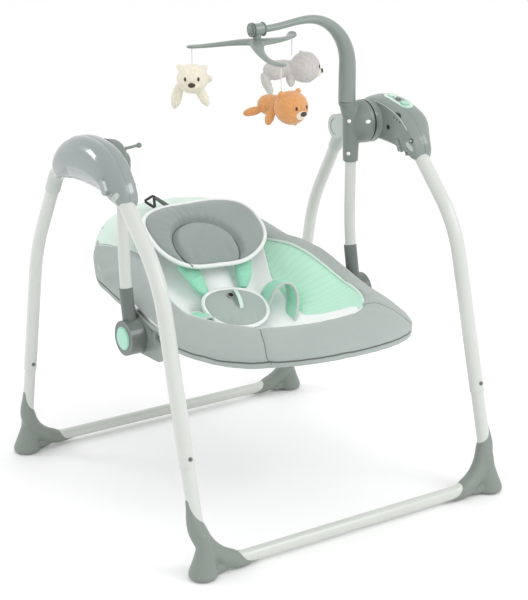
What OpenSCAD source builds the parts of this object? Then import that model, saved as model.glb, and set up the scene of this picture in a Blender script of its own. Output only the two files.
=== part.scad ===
// Electric baby swing on a folding tubular frame.
// Origin: on the floor, midway between the four feet. +Z is up, +Y is the head end,
// -Y the foot end, +X the motor side and -X the idler side.
// All sizes are millimetres and degrees.

/* [Frame] */
// Distance from the middle to each leg plane
leg_x = 326; // [318:1:334]
// Distance from the middle to each floor bar
foot_y = 337; // [332:1:342]
// Height of the floor bar centre lines
bar_z = 17.5; // [16:0.5:19]
// Lean of the front legs from vertical
front_lean = 14.6; // [14:0.1:15.2]
// Lean of the rear legs from vertical
rear_lean = 11.2; // [10.6:0.1:11.8]
// Outer diameter of the upper front legs
front_leg_d = 28; // [27.6:0.1:28.2]
// Outer diameter of the front base tube
front_base_d = 25; // [24:0.5:25]
// Outer diameter of the upper rear legs
rear_leg_d = 25; // [24.6:0.1:25.2]
// Outer diameter of the rear base tube
rear_base_d = 22; // [21:0.5:22]
// Centre-line radius of the floor bends
floor_bend_r = 90; // [86:1:94]
// Height at which the base tubes plug into the legs
seam_z = 190; // [180:5:200]

/* [Swing] */
// Distance of the swing axis from the middle, towards the head end
axis_y = 32; // [30:1:34]
// Height of the swing axis
axis_z = 665; // [662:1:668]
// Distance from the middle to each hanger tube
hanger_x = 258; // [257:0.5:259]
// Outer diameter of the hanger tubes
hanger_d = 22; // [21:0.5:22]
// Diameter of the swing axles
axle_d = 12; // [11.9:0.02:12]
// Radius of the round hanger hubs
hub_r = 43; // [41:1:44]
// Distance of the recline axis from the middle
recline_y = 10; // [8:1:12]
// Height of the recline axis
recline_z = 328; // [326:1:330]
// Radius of the recline cases
recline_r = 33; // [32:0.5:34]

/* [Seat] */
// Half the width of the seat frame loop
seat_half_w = 235; // [230:1:236]
// Middle of the seat loop along its length
seat_mid_y = 20; // [18:1:22]
// Length of the head half of the loop
seat_head_l = 316; // [310:1:320]
// Length of the foot half of the loop
seat_foot_l = 358; // [350:1:362]
// Radius of the seat frame rod
seat_rod_r = 5; // [4:0.5:5.5]
// Height of the lowest point inside the bucket
bucket_z = 276; // [272:1:282]

/* [Mobile] */
// Height of the top of the toy arch centre line
arch_z = 875; // [870:1:880]
// Radius of the main bend of the arch
arch_r = 95; // [90:1:98]
// Reach of each mobile arm
arm_reach = 122; // [116:1:124]
// Length of each toy string
string_l = 34; // [32:1:36]

/* [Hidden] */
$fn = 64;

off_white = "#e3e8e2";
grey_green = "#8b9a94";
light_grey = "#c3cbc5";
dark_grey = "#6f7c77";
mint = "#a5dfc6";
fabric_grey = "#9ba49c";

gap = 0.3;            // clearance between bodies that move past each other
wall = 1.3;           // wall of the frame tubes
plug_l = 45;          // length of base tube inside each leg
front_bend_at = 440;  // along the front leg from the floor bar to the bend
front_bend_r = 235;
front_bend_turn = 29.4;
front_top_l = 112;    // straight top of the front leg, into the case
rear_bend_at = 385;
rear_bend_r = 335;
rear_bend_turn = 18.8;
rear_top_l = 136;
snap_r = 3.5;         // snap button pin
snap_above = 16;      // snap button above the seam
snap_proud = 3;

case_in = 303;        // inner face of the cases, from the middle
split_x = 326;        // plane where inner and outer case halves meet
boss_in = 289;        // inner face of the round boss round the axle
motor_out = 368;
idler_out = 356;
slot_in = 310.6;      // slot between the case walls where the rear sockets turn
slot_out = 342;
case_wall = 2.6;
spigot_r = 22;        // boss that the rear sockets turn on
spigot_end = 325;
bush_r = 8.95;

arch_x = 250;         // toy post centre line
arch_y = 36;
post_z = 708;         // top of the right hanger hub
post_seam_z = 758;    // seam between post and arch
arch_tip_x = 39;      // centre of the mobile spindle
spider_z = 842;

boot_r = 18;
boot_base_z = 3;      // the boots stand on pads of this height

// Each case is a hull of round pucks [y, z, radius]
MOTOR_PUCKS = [[axis_y, axis_z, 49], [-14, 662, 50], [-58, 650, 44], [-92, 630, 27]];
IDLER_PUCKS = [[axis_y, 661, 46], [-18, 658, 48], [-62, 646, 41], [-92, 630, 27], [97, 645, 24]];
motor_round = 14;     // rounding of the outer edges
idler_round = 30;
case_arc_r = 320;     // concave underside of the cases
case_arc_y = 30;
case_arc_z = 306;
band_t = 6;           // light band under the idler case
boss_r = 40;
SCREWS = [[-29, 661, 19], [-97, 646, 19], [-84, 617, 8]];  // place and depth of each case screw
screw_r = 2.9;
LATCH_RIGHT = [-62, 632];
LATCH_LEFT = [-74, 643];
latch_turn = 62;

panel_x = 338;        // middle of the control panel
panel_y = -14;
panel_z = 706;
panel_tilt = 12;
panel_l = 76;
panel_w = 30;
panel_t = 3;
BUTTONS = [[22, 6], [2, 6], [-21, 8.5]];  // place along the panel, radius
jack_y = 52;
jack_z = 652;
jack_r = 5.5;
door_y = -22;
door_z = 664;
door_l = 54;
door_w = 34;
door_t = 2.4;
speaker_y = -48;
speaker_z = 676;
cell_x = 343;
cell_y = -46;
cell_z = 656;
cell_pitch = 15;

spigot_from = 312;    // inner side of the rear socket ring
LOBE = [156, 629];    // round end of the rear sockets
lobe_r = 25;

hub_in = 264;
hub_out = 287;
hub_low_z = 590;
axle_end = 336;
lever_l = 26;
coil_in = 337.5;
hanger_top_z = 650;
hanger_bend_z = 500;
hanger_bend_r = 700;
hanger_turn = 10.5;
recline_in = 245;
recline_out = 276;
recline_button_r = 22;
pin_r = 6;
bracket_in = 229;
bracket_out = 244.6;

tip_z = 866;          // height of the barrel at the end of the arch
ARM_TURN = [143, 23, 257];
TOY_TURN = [-35, 60, 8];
ARM_DROP = [9, 3, 22];            // fall of each arm from its root to its tip
STRING_EXTRA = [-10, 0, 10];      // how much longer each toy's string is

seat_low_y = -40;     // lowest point of the bucket along the seat
rim_inset = 10;       // the padded rim lies inside the frame rod by this much
shell_t = 10;

function lerp(a, b, t) = a + (b - a) * t;
function clamp01(t) = min(1, max(0, t));
function smooth(t) = let (u = clamp01(t)) u * u * (3 - 2 * u);
function spow(v, p) = sign(v) * pow(abs(v), p);

// ---------------------------------------------------------------- helpers

// Copies its children to the idler side as well
module both_sides() {
    children();
    mirror([1, 0, 0]) children();
}

// Cylinder along +X from x0 to x1
module bar_x(x0, x1, r, y = 0, z = 0) {
    translate([x0, y, z]) rotate([0, 90, 0]) cylinder(h = x1 - x0, r = r);
}

// Extrudes a drawing given in (Y, Z) along +X from x0 to x1
module slab_x(x0, x1) {
    translate([x0, 0, 0]) rotate([90, 0, 90]) linear_extrude(x1 - x0) children();
}

// Rod that starts at the origin, rises l1, bends towards +Y and runs on l2
module bent_rod(r, l1, bend_r, turn, l2, extra = 0) {
    translate([0, 0, -extra]) cylinder(h = l1 + extra, r = r);
    translate([0, bend_r, l1]) rotate([90, 0, -90])
        rotate_extrude(angle = turn, $fn = 128) translate([bend_r, 0]) circle(r = r, $fn = 48);
    translate([0, bend_r, l1]) rotate([-turn, 0, 0]) translate([0, -bend_r, 0])
        cylinder(h = l2 + extra, r = r);
}

// U-shaped rod in the XZ plane with its bar on the X axis
module u_rod(r, half_w, bend_r, height, extra = 0) {
    straight = half_w - bend_r;
    bar_x(-straight, straight, r);
    both_sides() {
        translate([straight, 0, bend_r]) rotate([90, 0, 0]) rotate([0, 0, -90])
            rotate_extrude(angle = 90, $fn = 128) translate([bend_r, 0]) circle(r = r, $fn = 48);
        translate([half_w, 0, bend_r]) cylinder(h = height - bend_r + extra, r = r);
    }
}

// Places children in the leaning plane of the front legs, origin at the floor bar
module front_plane() {
    translate([0, -foot_y, bar_z]) rotate([-front_lean, 0, 0]) children();
}

module rear_plane() {
    translate([0, foot_y, bar_z]) rotate([rear_lean, 0, 0]) mirror([0, 1, 0]) children();
}

front_seam = (seam_z - bar_z) / cos(front_lean);
rear_seam = (seam_z - bar_z) / cos(rear_lean);

// ---------------------------------------------------------------- frame

// Places children at the snap button hole of the leg, with +Z out through it
module at_snap(seam, side) {
    translate([leg_x, 0, seam + snap_above]) rotate([90 * side, 0, 0]) children();
}

module base_tube(d, seam, side) {
    difference() {
        u_rod(d / 2, leg_x, floor_bend_r, seam + plug_l);
        u_rod(d / 2 - wall, leg_x, floor_bend_r, seam + plug_l, 1);
        both_sides() at_snap(seam, side) cylinder(h = d, r = snap_r + 0.1);
    }
}

module leg(d, seam, side, bend_at, bend_r, turn, top_l) {
    difference() {
        translate([leg_x, 0, seam]) bent_rod(d / 2, bend_at - seam, bend_r, turn, top_l);
        translate([leg_x, 0, seam]) bent_rod(d / 2 - wall, bend_at - seam, bend_r, turn, top_l, 1);
        at_snap(seam, side) cylinder(h = d, r = snap_r + 0.1);
    }
}

module front_leg() {
    front_plane() leg(front_leg_d, front_seam, 1, front_bend_at, front_bend_r, front_bend_turn,
        front_top_l);
}

module rear_leg() {
    rear_plane() leg(rear_leg_d, rear_seam, -1, rear_bend_at, rear_bend_r, rear_bend_turn,
        rear_top_l);
}

module front_base_tube() color(off_white) front_plane() base_tube(front_base_d, front_seam, 1);
module rear_base_tube() color(off_white) rear_plane() base_tube(rear_base_d, rear_seam, -1);
module front_leg_right() color(off_white) front_leg();
module front_leg_left() color(off_white) mirror([1, 0, 0]) front_leg();
module rear_leg_right() color(off_white) rear_leg();
module rear_leg_left() color(off_white) mirror([1, 0, 0]) rear_leg();

// Sprung pin that locks a base tube in its leg
module snap_button(d, seam, side) {
    at_snap(seam, side) {
        translate([0, 0, d / 2 - 8]) cylinder(h = snap_proud + 7, r = snap_r);
        translate([0, 0, d / 2 + snap_proud - 1]) cylinder(h = 1, r1 = snap_r, r2 = snap_r - 1);
        translate([0, 0, d / 2 - 9.5]) cylinder(h = 2, r = snap_r + 1.5);
    }
}

module front_snap() color(dark_grey) front_plane() snap_button(front_leg_d, front_seam, 1);
module rear_snap() color(dark_grey) rear_plane() snap_button(rear_leg_d, rear_seam, -1);
module snap_button_front_right() front_snap();
module snap_button_front_left() mirror([1, 0, 0]) front_snap();
module snap_button_rear_right() rear_snap();
module snap_button_rear_left() mirror([1, 0, 0]) rear_snap();

// Moulded boot round a floor bend, with a flared foot under its outer corner
module foot_boot(tube_r) {
    straight = leg_x - floor_bend_r;
    difference() {
        union() {
            translate([straight, 0, floor_bend_r]) rotate([90, 0, 0]) rotate([0, 0, -84])
                rotate_extrude(angle = 84, $fn = 128) translate([floor_bend_r, 0])
                    circle(r = boot_r, $fn = 48);
            hull() {
                translate([leg_x - 58, -boot_r + 3, -10]) cube([10, boot_r * 2 - 6, 14]);
                translate([leg_x - 6, -boot_r + 4, 40]) cube([10, boot_r * 2 - 8, 20]);
                translate([leg_x, 0, -bar_z - 8]) cylinder(h = 14, r = 26, $fn = 32);
            }
        }
        u_rod(tube_r + 0.1, leg_x, floor_bend_r, 180);
    }
}

module feet(tube_r, side, lean) {
    translate([0, side * foot_y, bar_z]) both_sides() intersection() {
        rotate([lean, 0, 0]) foot_boot(tube_r);
        translate([leg_x - 110, -80, boot_base_z - bar_z]) cube([170, 160, 160]);
    }
}

module foot_pads(side) {
    both_sides() translate([leg_x, side * foot_y, 0]) cylinder(h = boot_base_z, r = 15);
}

module front_feet() color(grey_green) feet(front_base_d / 2, -1, -front_lean);
module rear_feet() color(grey_green) feet(rear_base_d / 2, 1, rear_lean);
module front_foot_pads() color(light_grey) foot_pads(-1);
module rear_foot_pads() color(light_grey) foot_pads(1);

// ---------------------------------------------------------------- cases

// Solid case body from the inner face to x_out, shrunk by inset, with a rounded outer edge
module case_body(pucks, x_out, round, inset) {
    x0 = case_in + inset;
    difference() {
        hull() for (p = pucks, k = [0:4]) {
            edge = min(round, p[2] - 6);
            x1 = x_out - inset - edge + edge * sin(k * 22.5);
            translate([x0, p[0], p[1]]) rotate([0, 90, 0])
                cylinder(h = x1 - x0, r = p[2] - inset - edge * (1 - cos(k * 22.5)), $fn = 48);
        }
        bar_x(x0 - 1, x_out + 1, case_arc_r + inset, case_arc_y, case_arc_z);
    }
}

// The straight top of a front leg as a solid rod, for bores and collars
module front_leg_top(r) {
    front_plane() translate([leg_x, front_bend_r, front_bend_at]) rotate([-front_bend_turn, 0, 0])
        translate([0, -front_bend_r, 20]) cylinder(h = front_top_l - 20, r = r);
}

// Wedge that the rear socket sweeps at the back and underneath
module socket_slot() {
    translate([0, axis_y, axis_z]) slab_x(slot_in, slot_out)
        polygon([[0, 0], [60, 60], [200, 60], [200, -180], [-16, -180], [-16, -30]]);
}

// One half of a case: walls, and a collar that grips the front leg
module case_half(pucks, x_out, round, inner) {
    cut_from = inner ? split_x - 0.2 : case_in - 40;
    cut_to = inner ? x_out + 40 : split_x + 0.2;
    difference() {
        case_body(pucks, x_out, round, 0);
        difference() {
            case_body(pucks, x_out, round, case_wall);
            front_leg_top(front_leg_d / 2 + 4);
        }
        front_leg_top(front_leg_d / 2 + 0.1);
        socket_slot();
        translate([cut_from, -300, 500]) cube([cut_to - cut_from, 600, 300]);
    }
}

// Inner half with the round boss, the spigot of the rear socket and the screw pillars
module inner_half(pucks, x_out, round) {
    difference() {
        union() {
            case_half(pucks, x_out, round, true);
            bar_x(boss_in, case_in + case_wall, boss_r, axis_y, axis_z);
            bar_x(case_in + 1, spigot_end, spigot_r, axis_y, axis_z);
            for (s = SCREWS) bar_x(case_in + 1, split_x - 0.2, screw_r + 2.4, s[0], s[1]);
        }
        bar_x(boss_in - 1, spigot_end + 1, bush_r, axis_y, axis_z);
        for (s = SCREWS) bar_x(case_in - 1, split_x + 1, screw_r + 0.1, s[0], s[1]);
        front_leg_top(front_leg_d / 2 + 0.1);
    }
}

// Moves children onto the sloping control panel
module on_panel() {
    translate([panel_x, panel_y, panel_z]) rotate([panel_tilt, 0, 0]) children();
}

module panel_outline(grow = 0) {
    hull() for (s = [-1, 1]) translate([0, s * (panel_l - panel_w) / 2])
        circle(r = panel_w / 2 + grow, $fn = 48);
}

// Flat seat for the panel and the holes under its buttons
module panel_cut() {
    on_panel() translate([0, 0, -0.2]) linear_extrude(60) panel_outline(0.2);
    for (b = BUTTONS) on_panel() translate([0, b[0], -12]) cylinder(h = 20, r = b[1] + 0.4);
}

module latch_outline(place, half_l, r) {
    hull() for (s = [-1, 1]) translate([place[0] + half_l * cos(latch_turn) * s,
        place[1] + half_l * sin(latch_turn) * s]) circle(r = r, $fn = 32);
}

module motor_case_inner() {
    color(grey_green) difference() {
        inner_half(MOTOR_PUCKS, motor_out, motor_round);
        panel_cut();
        slab_x(case_in - 1, case_in + case_wall + 1) latch_outline(LATCH_RIGHT, 8, 5.4);
    }
}

module motor_case_outer() {
    color(grey_green) difference() {
        case_half(MOTOR_PUCKS, motor_out, motor_round, false);
        panel_cut();
        translate([motor_out - door_t - 0.2, door_y - door_l / 2 - 0.2, door_z - door_w / 2 - 0.2])
            cube([10, door_l + 0.4, door_w + 0.4]);
        bar_x(split_x, motor_out + 1, jack_r + 0.1, jack_y, jack_z);
    }
}

// Ring sector along the concave underside of the idler case
module under_band(x0, x1, y0, y1) {
    intersection() {
        difference() {
            bar_x(x0, x1, case_arc_r + band_t, case_arc_y, case_arc_z);
            bar_x(x0 - 1, x1 + 1, case_arc_r, case_arc_y, case_arc_z);
        }
        translate([x0, y0, 560]) cube([x1 - x0, y1 - y0, 120]);
    }
}

module idler_case_inner() {
    color(light_grey) mirror([1, 0, 0]) {
        inner_half(IDLER_PUCKS, idler_out, idler_round);
        difference() {
            intersection() {
                under_band(split_x - 1, idler_out - 9, -150, axis_y - 18);
                case_body(IDLER_PUCKS, idler_out, idler_round, 0.6);
            }
            front_leg_top(front_leg_d / 2 + 0.1);
        }
    }
}

module idler_case_outer() {
    color(grey_green) mirror([1, 0, 0]) difference() {
        case_half(IDLER_PUCKS, idler_out, idler_round, false);
        bar_x(split_x, idler_out - 8.6, case_arc_r + band_t + 0.3, case_arc_y, case_arc_z);
        slab_x(idler_out - 30, idler_out + 1) latch_outline(LATCH_LEFT, 8, 7.4);
    }
}

module case_screws() {
    color("silver") both_sides() for (s = SCREWS)
        bar_x(case_in + 1, case_in + s[2], screw_r, s[0], s[1]);
}

module axle_bushes() {
    color("wheat") both_sides() difference() {
        bar_x(boss_in + 1, spigot_end, bush_r - 0.05, axis_y, axis_z);
        bar_x(boss_in, spigot_end + 1, axle_d / 2 + 0.05, axis_y, axis_z);
    }
}

module drive_coil() {
    color("peru") difference() {
        bar_x(coil_in, coil_in + 8, 10, axis_y, axis_z - lever_l);
        bar_x(coil_in - 1, coil_in + 9, 5, axis_y, axis_z - lever_l);
    }
}

module control_board() {
    color("seagreen") {
        on_panel() translate([-4, -25, -18]) cube([28, 46, 1.6]);
        on_panel() translate([2, -12, -24]) cube([10, 14, 5.9]);
    }
}

module speaker() {
    color("dimgray") {
        bar_x(case_in + case_wall + 0.2, case_in + 8, 17, speaker_y, speaker_z);
        bar_x(case_in + 8, case_in + 16, 10, speaker_y, speaker_z);
    }
}

module battery_cells() {
    color("slategray") for (column = [0, 1], row = [0, 1])
        translate([cell_x + column * cell_pitch, cell_y, cell_z + row * cell_pitch]) rotate([-90, 0, 0]) {
            cylinder(h = 49, r = 7.2);
            cylinder(h = 50.3, r = 2.6);
        }
}

module battery_door() {
    color(grey_green) translate([motor_out - door_t, door_y - door_l / 2, door_z - door_w / 2])
        cube([door_t, door_l, door_w]);
}

module control_panel() {
    color(mint) difference() {
        on_panel() linear_extrude(panel_t) panel_outline();
        for (b = BUTTONS) on_panel() translate([0, b[0], -1]) cylinder(h = 20, r = b[1] + 0.4);
    }
}

module power_jack() {
    color("black") difference() {
        bar_x(motor_out - 18, motor_out - 6, jack_r, jack_y, jack_z);
        bar_x(motor_out - 14, motor_out - 5, 2.75, jack_y, jack_z);
    }
}

module panel_button(b, proud) {
    on_panel() translate([0, b[0], -8]) cylinder(h = 8 + panel_t + proud, r = b[1]);
}

module power_button() color(mint) panel_button(BUTTONS[0], 2);
module speed_button() color(mint) panel_button(BUTTONS[1], 2);
module music_button() color("white") panel_button(BUTTONS[2], 3);

module fold_button_right() {
    color(grey_green) {
        slab_x(case_in - 2, case_in + 5) latch_outline(LATCH_RIGHT, 8, 5);
        slab_x(case_in + case_wall + 0.6, case_in + 5) latch_outline(LATCH_RIGHT, 8, 7);
    }
}

module fold_button_left() {
    color(light_grey) mirror([1, 0, 0])
        slab_x(idler_out - 20, idler_out + 1) latch_outline(LATCH_LEFT, 8, 7);
}

// ---------------------------------------------------------------- rear sockets

// Arm that carries a rear leg and turns on the spigot of the case
module rear_socket() {
    difference() {
        union() {
            bar_x(spigot_from, spigot_from + 11.5, spigot_r + 9, axis_y, axis_z);
            slab_x(slot_in + 1, slot_out - 1) hull() {
                translate([axis_y + 54, axis_z - 10]) circle(r = 15);
                translate(LOBE) circle(r = lobe_r);
            }
            slab_x(spigot_from, spigot_from + 11.5) hull() {
                translate([axis_y + 24, axis_z - 4]) circle(r = 14);
                translate([axis_y + 60, axis_z - 11]) circle(r = 14);
            }
            rear_leg_top(rear_leg_d / 2 + 1.9, 38);
        }
        bar_x(spigot_from - 1, spigot_from + 40, spigot_r + 0.05, axis_y, axis_z);
        bar_x(spigot_from + 12, slot_out, 47, axis_y, axis_z);
        rear_leg_top(rear_leg_d / 2 + 0.1, 60);
        // stop slot for the fold pin
        translate([0, LOBE[0], LOBE[1]]) slab_x(slot_in, slot_in + 3) difference() {
            circle(r = 17);
            circle(r = 14);
            translate([-20, -20]) square([20, 40]);
        }
    }
}

// The top end of a rear leg as a solid rod of the given length
module rear_leg_top(r, length) {
    rear_plane() translate([leg_x, rear_bend_r, rear_bend_at]) rotate([-rear_bend_turn, 0, 0])
        translate([0, -rear_bend_r, rear_top_l - length]) cylinder(h = length, r = r);
}

module rear_socket_right() color(light_grey) rear_socket();
module rear_socket_left() color(light_grey) mirror([1, 0, 0]) rear_socket();

// ---------------------------------------------------------------- swing carriage

// Hub disc on the axle, with a sleeve for the hanger tube
module hanger_hub(top_z) {
    difference() {
        union() {
            bar_x(hub_in, hub_out, hub_r, axis_y, axis_z);
            translate([hanger_x, axis_y, hub_low_z]) cylinder(h = top_z - hub_low_z, r = 17);
            children();
        }
        translate([hanger_x, axis_y, hub_low_z - 1]) cylinder(h = 66, r = hanger_d / 2 + 0.05);
        bar_x(hub_in + 4, hub_out + 1, axle_d / 2 + 0.05, axis_y, axis_z);
    }
}

module hanger_hub_right() {
    color(dark_grey) hanger_hub(axis_z + 20) {
        hull() {
            translate([hanger_x, axis_y, axis_z + 14]) cylinder(h = 6, r = 17, $fn = 32);
            translate([arch_x, arch_y, post_z - 4]) cylinder(h = 4, r = 17, $fn = 32);
        }
        translate([arch_x, arch_y, post_z - 1]) cylinder(h = 26, r = 12);
    }
}

module hanger_hub_left() {
    color(dark_grey) mirror([1, 0, 0]) hanger_hub(axis_z + 28) {
        translate([hanger_x, axis_y, axis_z + 28]) sphere(r = 17);
        bar_x(hanger_x - 36, hanger_x, 3.2, axis_y - 4, axis_z + 33);
        translate([hanger_x - 36, axis_y - 4, axis_z + 33]) sphere(r = 5.5);
    }
}

module swing_axles() {
    color("silver") both_sides() bar_x(hub_in + 4.3, axle_end, axle_d / 2, axis_y, axis_z);
}

// Lever on the motor end of the axle, with the magnet that the coil pushes
module drive_magnet_arm() {
    color("goldenrod") difference() {
        slab_x(axle_end - 9, axle_end - 1) hull() {
            translate([axis_y, axis_z]) circle(r = 12);
            translate([axis_y, axis_z - lever_l]) circle(r = 8);
        }
        bar_x(axle_end - 10, axle_end + 1, axle_d / 2 + 0.05, axis_y, axis_z);
    }
}

// Hanger tube: straight down, then curving forward a little to the recline case
module hanger_rod(r, extra = 0) {
    straight = hanger_top_z - hanger_bend_z + extra;
    translate([hanger_x, axis_y, hanger_top_z + extra]) rotate([180, 0, 0]) {
        cylinder(h = straight, r = r);
        translate([0, hanger_bend_r, straight]) rotate([90, 0, -90])
            rotate_extrude(angle = hanger_turn + extra * 0.5, $fn = 128)
                translate([hanger_bend_r, 0]) circle(r = r, $fn = 48);
    }
}

module hanger_tube() {
    difference() {
        hanger_rod(hanger_d / 2);
        hanger_rod(hanger_d / 2 - wall, 1);
    }
}

module hanger_tube_right() color(off_white) hanger_tube();
module hanger_tube_left() color(off_white) mirror([1, 0, 0]) hanger_tube();

// Places children at the lower end of the hanger, with +Z up along the tube
module at_hanger_end() {
    translate([hanger_x, axis_y - hanger_bend_r, hanger_bend_z]) rotate([-hanger_turn, 0, 0])
        translate([0, hanger_bend_r, 0]) children();
}

// Round case of the recline hinge with the socket of the hanger tube
module recline_case() {
    difference() {
        union() {
            bar_x(recline_in, recline_out, recline_r, recline_y, recline_z);
            at_hanger_end() translate([0, 0, -26]) cylinder(h = 72, r = 13);
        }
        hanger_rod(hanger_d / 2 + 0.05);
        bar_x(recline_in - 1, recline_out - 12, pin_r + 0.05, recline_y, recline_z);
        bar_x(recline_out - 10, recline_out + 1, recline_button_r + gap, recline_y, recline_z);
    }
}

module recline_case_right() color(grey_green) recline_case();
module recline_case_left() color(grey_green) mirror([1, 0, 0]) recline_case();

module recline_button() {
    bar_x(recline_out - 4.5, recline_out + 1.5, recline_button_r, recline_y, recline_z);
    bar_x(recline_out + 1.4, recline_out + 3, recline_button_r - 2, recline_y, recline_z);
}

module recline_button_right() color(mint) recline_button();
module recline_button_left() color(mint) mirror([1, 0, 0]) recline_button();

module toy_post() {
    color(grey_green) difference() {
        translate([arch_x, arch_y, post_z]) cylinder(h = post_seam_z - post_z, r = 17);
        translate([arch_x, arch_y, post_z - 1]) cylinder(h = 27, r = 12.1);
        translate([arch_x, arch_y, post_seam_z - 16]) cylinder(h = 17, r = 11.1);
    }
}

// ---------------------------------------------------------------- swept shapes

// Closed ring of n points round centre c, spanned by u and v
function ring(c, u, v, n) = [for (k = [0:n - 1]) c + u * cos(360 * k / n) + v * sin(360 * k / n)];

// Skin over rings of equal length; closed joins the last ring to the first
module skin(rings, closed = false) {
    n = len(rings[0]);
    m = len(rings);
    last = closed ? m - 1 : m - 2;
    walls = [for (i = [0:last], k = [0:n - 1]) let (
        j = (i + 1) % m, k2 = (k + 1) % n)
        [i * n + k, i * n + k2, j * n + k2, j * n + k]];
    caps = closed ? [] : [[for (k = [n - 1:-1:0]) k], [for (k = [0:n - 1]) (m - 1) * n + k]];
    polyhedron([for (r = rings, p = r) p], concat(walls, caps), convexity = 6);
}

// Centre line of the toy arch at t = 0 (post seam) to 1 (mobile end)
arch_rise = arch_z - arch_r;
function arch_point(t) = t < 0.12
    ? [arch_x, arch_y, lerp(post_seam_z, arch_rise, t / 0.12)]
    : t < 0.62
    ? let (a = (t - 0.12) * 180) [arch_x - arch_r * (1 - cos(a)), arch_y, arch_rise + arch_r * sin(a)]
    : let (u = (t - 0.62) / 0.38)
      [lerp(arch_x - arch_r, arch_tip_x + 10, u), arch_y, arch_z - 9 * smooth(u * 1.1)];

function arch_ring(t) = let (
    d = arch_point(min(1, t + 0.01)) - arch_point(max(0, t - 0.01)),
    v = [-d[2], 0, d[0]] / norm(d),
    wide = lerp(17, 9, smooth(t * 1.05)),
    thick = lerp(17, 6.5, smooth(t * 1.25)))
    ring(arch_point(t), [0, wide, 0], -v * thick, 24);

module toy_arch() {
    color(grey_green) difference() {
        union() {
            skin([for (i = [0:36]) arch_ring(i / 36)]);
            translate([arch_x, arch_y, post_seam_z - 15.7]) cylinder(h = 16, r = 11);
            bar_x(arch_tip_x - 14, arch_tip_x + 14, 11.5, arch_y, tip_z);
            translate([arch_tip_x, arch_y, tip_z - 18]) cylinder(h = 12, r = 8);
        }
        translate([arch_tip_x, arch_y, tip_z - 19]) cylinder(h = 22, r = 3.05);
    }
}

// ---------------------------------------------------------------- seat

// Rounded-oval loop: half width w, head length lh, foot length lf, about [0, mid]
function oval(a, w, lh, lf, mid, nh, nf) = let (n = sin(a) > 0 ? nh : nf, l = sin(a) > 0 ? lh : lf)
    [w * spow(cos(a), 2 / n), mid + l * spow(sin(a), 2 / n)];

// Height of the outer edge of the seat at length y
function edge_z(y) = 350 + 48 * smooth((y + 110) / 270)
    + 81 * pow(clamp01((y - 190) / 153), 1.2)
    + 22 * pow(clamp01((-190 - y) / 155), 1.5);

// Height of the inner edge of the padded rim
function inner_z(y) = 371 + 42 * smooth((y + 75) / 200) + 62 * pow(clamp01((y - 190) / 75), 1.4)
    + 6 * clamp01((-200 - y) / 55);

function outer_point(a, inset) = let (p = oval(a, seat_half_w - inset, seat_head_l - inset,
    seat_foot_l - inset, seat_mid_y, 2.8, 2.4)) [p[0], p[1], edge_z(p[1])];

function inner_point(a) = let (p = oval(a, 184, 285, 235, -20, 2, 2)) [p[0], p[1], inner_z(p[1])];

// Inside of the bucket: s = 0 at its lowest point, 1 at the inner edge of the rim
function bowl_point(a, s) = let (
    q = inner_point(a),
    head = pow(max(0, sin(a)), 6),
    g = lerp(pow(s, 2.6), pow(smooth(s), 1.15), head))
    [q[0] * s, lerp(seat_low_y, q[1], s), lerp(bucket_z, q[2], g)];

// Padded rim between its inner edge (t = 0) and outer edge (t = 1)
function rim_point(a, t, rise) = lerp(inner_point(a), outer_point(a, rim_inset), t) + [0, 0, rise];

seat_steps = 56;
function loop(f) = [for (i = [0:seat_steps - 1]) f(360 * i / seat_steps)];

module seat_shell() {
    down = [0, 0, -shell_t];
    rings = [
        for (s = [0.1, 0.3, 0.5, 0.7, 0.85, 0.95])
            [for (i = [0:seat_steps - 1]) bowl_point(360 * i / seat_steps, s) + down],
        for (q = [[0.1, -18], [0.5, -20], [0.9, -16], [1, -7], [0.97, 5], [0.8, 11], [0.5, 12], [0.2, 8]])
            [for (i = [0:seat_steps - 1]) rim_point(360 * i / seat_steps, q[0], q[1])],
        for (s = [1, 0.95, 0.85, 0.7, 0.5, 0.3, 0.1])
            [for (i = [0:seat_steps - 1]) bowl_point(360 * i / seat_steps, s)]
    ];
    color(fabric_grey) skin(rings);
}

function rod_ring(a) = let (
    d = outer_point(a + 0.5, 0) - outer_point(a - 0.5, 0),
    t = d / norm(d),
    u = cross(t, [0, 0, 1]) / norm(cross(t, [0, 0, 1])),
    v = cross(u, t))
    ring(outer_point(a, 0), u * seat_rod_r, v * seat_rod_r, 12);

module seat_frame() {
    color(dark_grey) skin([for (i = [0:79]) rod_ring(360 * (i + 0.5) / 80)], closed = true);
}

// Seat side of the recline hinge: bracket, pin and two saddles under the frame rod
module seat_hub() {
    slab_x(bracket_in, bracket_out) hull() {
        translate([recline_y, recline_z]) circle(r = recline_r);
        translate([recline_y - 68, recline_z - 12]) circle(r = 20);
    }
    bar_x(bracket_out - 1, recline_out - 12.3, pin_r, recline_y, recline_z);
    for (y = [recline_y - 58, recline_y + 20]) {
        top = edge_z(y) - seat_rod_r - gap;
        translate([bracket_in, y - 5, recline_z]) cube([bracket_out - bracket_in, 10, top - recline_z - 1]);
    }
}

module seat_hub_right() color(grey_green) seat_hub();
module seat_hub_left() color(grey_green) mirror([1, 0, 0]) seat_hub();

// Places children on a plane through [0, y, z] that rises by tilt towards the head
module on_seat(y, z, tilt) {
    translate([0, y, z]) rotate([tilt, 0, 0]) children();
}

module headrest() {
    color(fabric_grey) on_seat(168, 451, 31) hull() for (x = [-1, 1], y = [-1, 1])
        translate([x * (y > 0 ? 88 : 76), y * 62, 0]) scale([3, 1.6, 1]) sphere(r = 13, $fn = 32);
}

module crotch_pad() {
    color(fabric_grey) on_seat(50, 326, 33) translate([0, 0, -3]) linear_extrude(7) hull() {
        translate([0, -18]) circle(r = 26, $fn = 48);
        for (s = [-1, 1]) translate([s * 38, 14]) circle(r = 26, $fn = 48);
    }
}

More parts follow.
